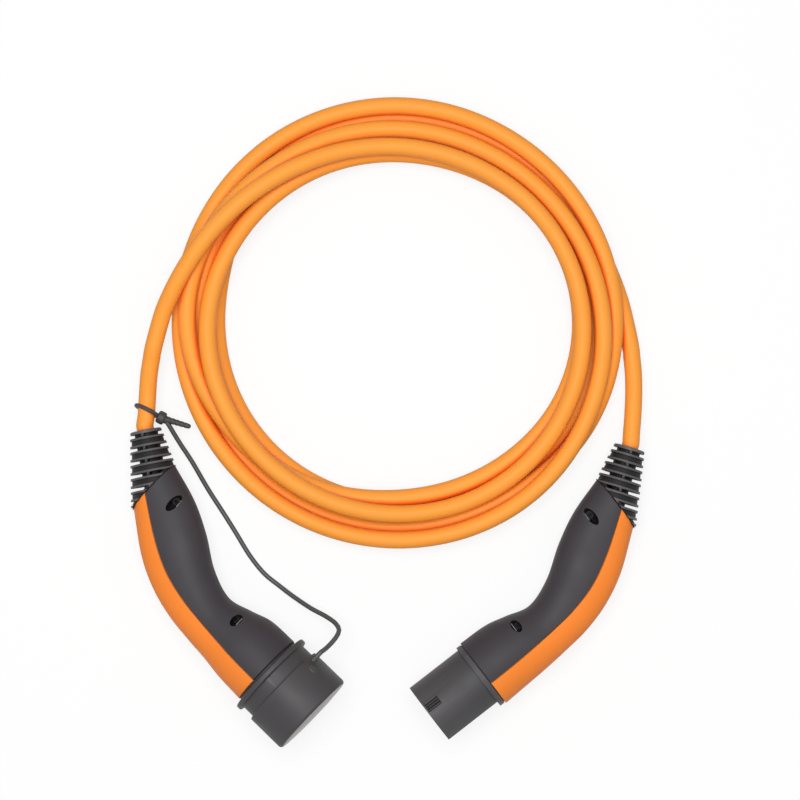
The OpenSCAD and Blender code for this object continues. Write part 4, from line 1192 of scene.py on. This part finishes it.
def floor_paint(shadow):
    """Pale floor that the camera sees near white, with a share of its shading kept."""
    paint = bpy.data.materials.new("floor_paint")
    paint.use_nodes = True
    tree = paint.node_tree
    seen = seen_directly(tree)
    tone = mixed(tree, seen, (0.5, 0.5, 0.5, 1), (0.97, 0.97, 0.97, 1))
    shader = tree.nodes["Principled BSDF"]
    fill(tree, shader, {"Base Color": tone, "Roughness": 0.9, "Specular IOR Level": 0.1})
    white = add_node(tree, "Emission", {"Color": WHITE}).outputs["Emission"]
    share = computed(tree, "MULTIPLY", seen, 1 - shadow)
    mix = add_node(tree, "MixShader", {"Fac": share, 1: shader.outputs["BSDF"], 2: white})
    fill(tree, tree.nodes["Material Output"], {"Surface": mix.outputs["Shader"]})
    return paint


def studio_world(ambient, horizon):
    """White background, and soft light that falls off from the zenith to the horizon."""
    world = bpy.data.worlds.new("studio")
    world.use_nodes = True
    tree = world.node_tree
    tree.nodes.clear()
    way = add_node(tree, "TexCoord").outputs["Generated"]
    height = add_node(tree, "SeparateXYZ", {"Vector": way}).outputs["Z"]
    strength = ranged(tree, height, to_min=horizon, to_max=ambient)
    soft = add_node(tree, "Background", {"Color": WHITE, "Strength": strength}).outputs["Background"]
    white = add_node(tree, "Background", {"Color": WHITE}).outputs["Background"]
    mix = add_node(tree, "MixShader", {"Fac": seen_directly(tree), 1: soft, 2: white})
    add_node(tree, "OutputWorld", {"Surface": mix.outputs["Shader"]})
    return world


def key_light(power):
    """Large round light above, turned to its target."""
    data = bpy.data.lights.new("key_light", "AREA")
    data.energy = power
    data.size = LIGHT_SIZE
    data.shape = "DISK"
    obj = new_object("key_light", data)
    obj.location = LIGHT_AT
    obj.rotation_euler = (LIGHT_TARGET - LIGHT_AT).to_track_quat("-Z", "Y").to_euler()


class CHARGING_PT_panel(bpy.types.Panel):
    """Charging cable tools"""

    bl_label = "Charging Cable"
    bl_idname = "CHARGING_PT_panel"
    bl_space_type = "VIEW_3D"
    bl_region_type = "UI"
    bl_category = "Charging Cable"

    def draw(self, context):
        layout = self.layout
        for group in ("charging_cable", "charging_handle", "charging_finish", "charging_stage"):
            settings = getattr(context.scene, group)
            box = layout.box()
            for name in settings.bl_rna.properties.keys():
                if name not in ("rna_type", "name"):
                    box.prop(settings, name)
        for operator in OPERATORS:
            layout.operator(operator.bl_idname)


SETTINGS = {
    "charging_cable": CableSettings,
    "charging_handle": HandleSettings,
    "charging_finish": FinishSettings,
    "charging_stage": StageSettings,
}
OPERATORS = (
    CHARGING_OT_stage,
    CHARGING_OT_cable,
    CHARGING_OT_tether,
    CHARGING_OT_shells,
    CHARGING_OT_fittings,
)


def register():
    """Registers the settings, the operators and the panel."""
    for name, settings in SETTINGS.items():
        bpy.utils.register_class(settings)
        setattr(bpy.types.Scene, name, PointerProperty(type=settings))
    for cls in (*OPERATORS, CHARGING_PT_panel):
        bpy.utils.register_class(cls)


def unregister():
    """Removes them again."""
    for cls in reversed((*OPERATORS, CHARGING_PT_panel)):
        bpy.utils.unregister_class(cls)
    for name, settings in reversed(SETTINGS.items()):
        delattr(bpy.types.Scene, name)
        bpy.utils.unregister_class(settings)


def main():
    """Builds the whole scene."""
    register()
    bpy.ops.charging.stage()
    bpy.ops.charging.cable()
    bpy.ops.charging.tether()
    bpy.ops.charging.shells()
    bpy.ops.charging.fittings()
    bpy.context.view_layer.update()


if __name__ == "__main__":
    main()
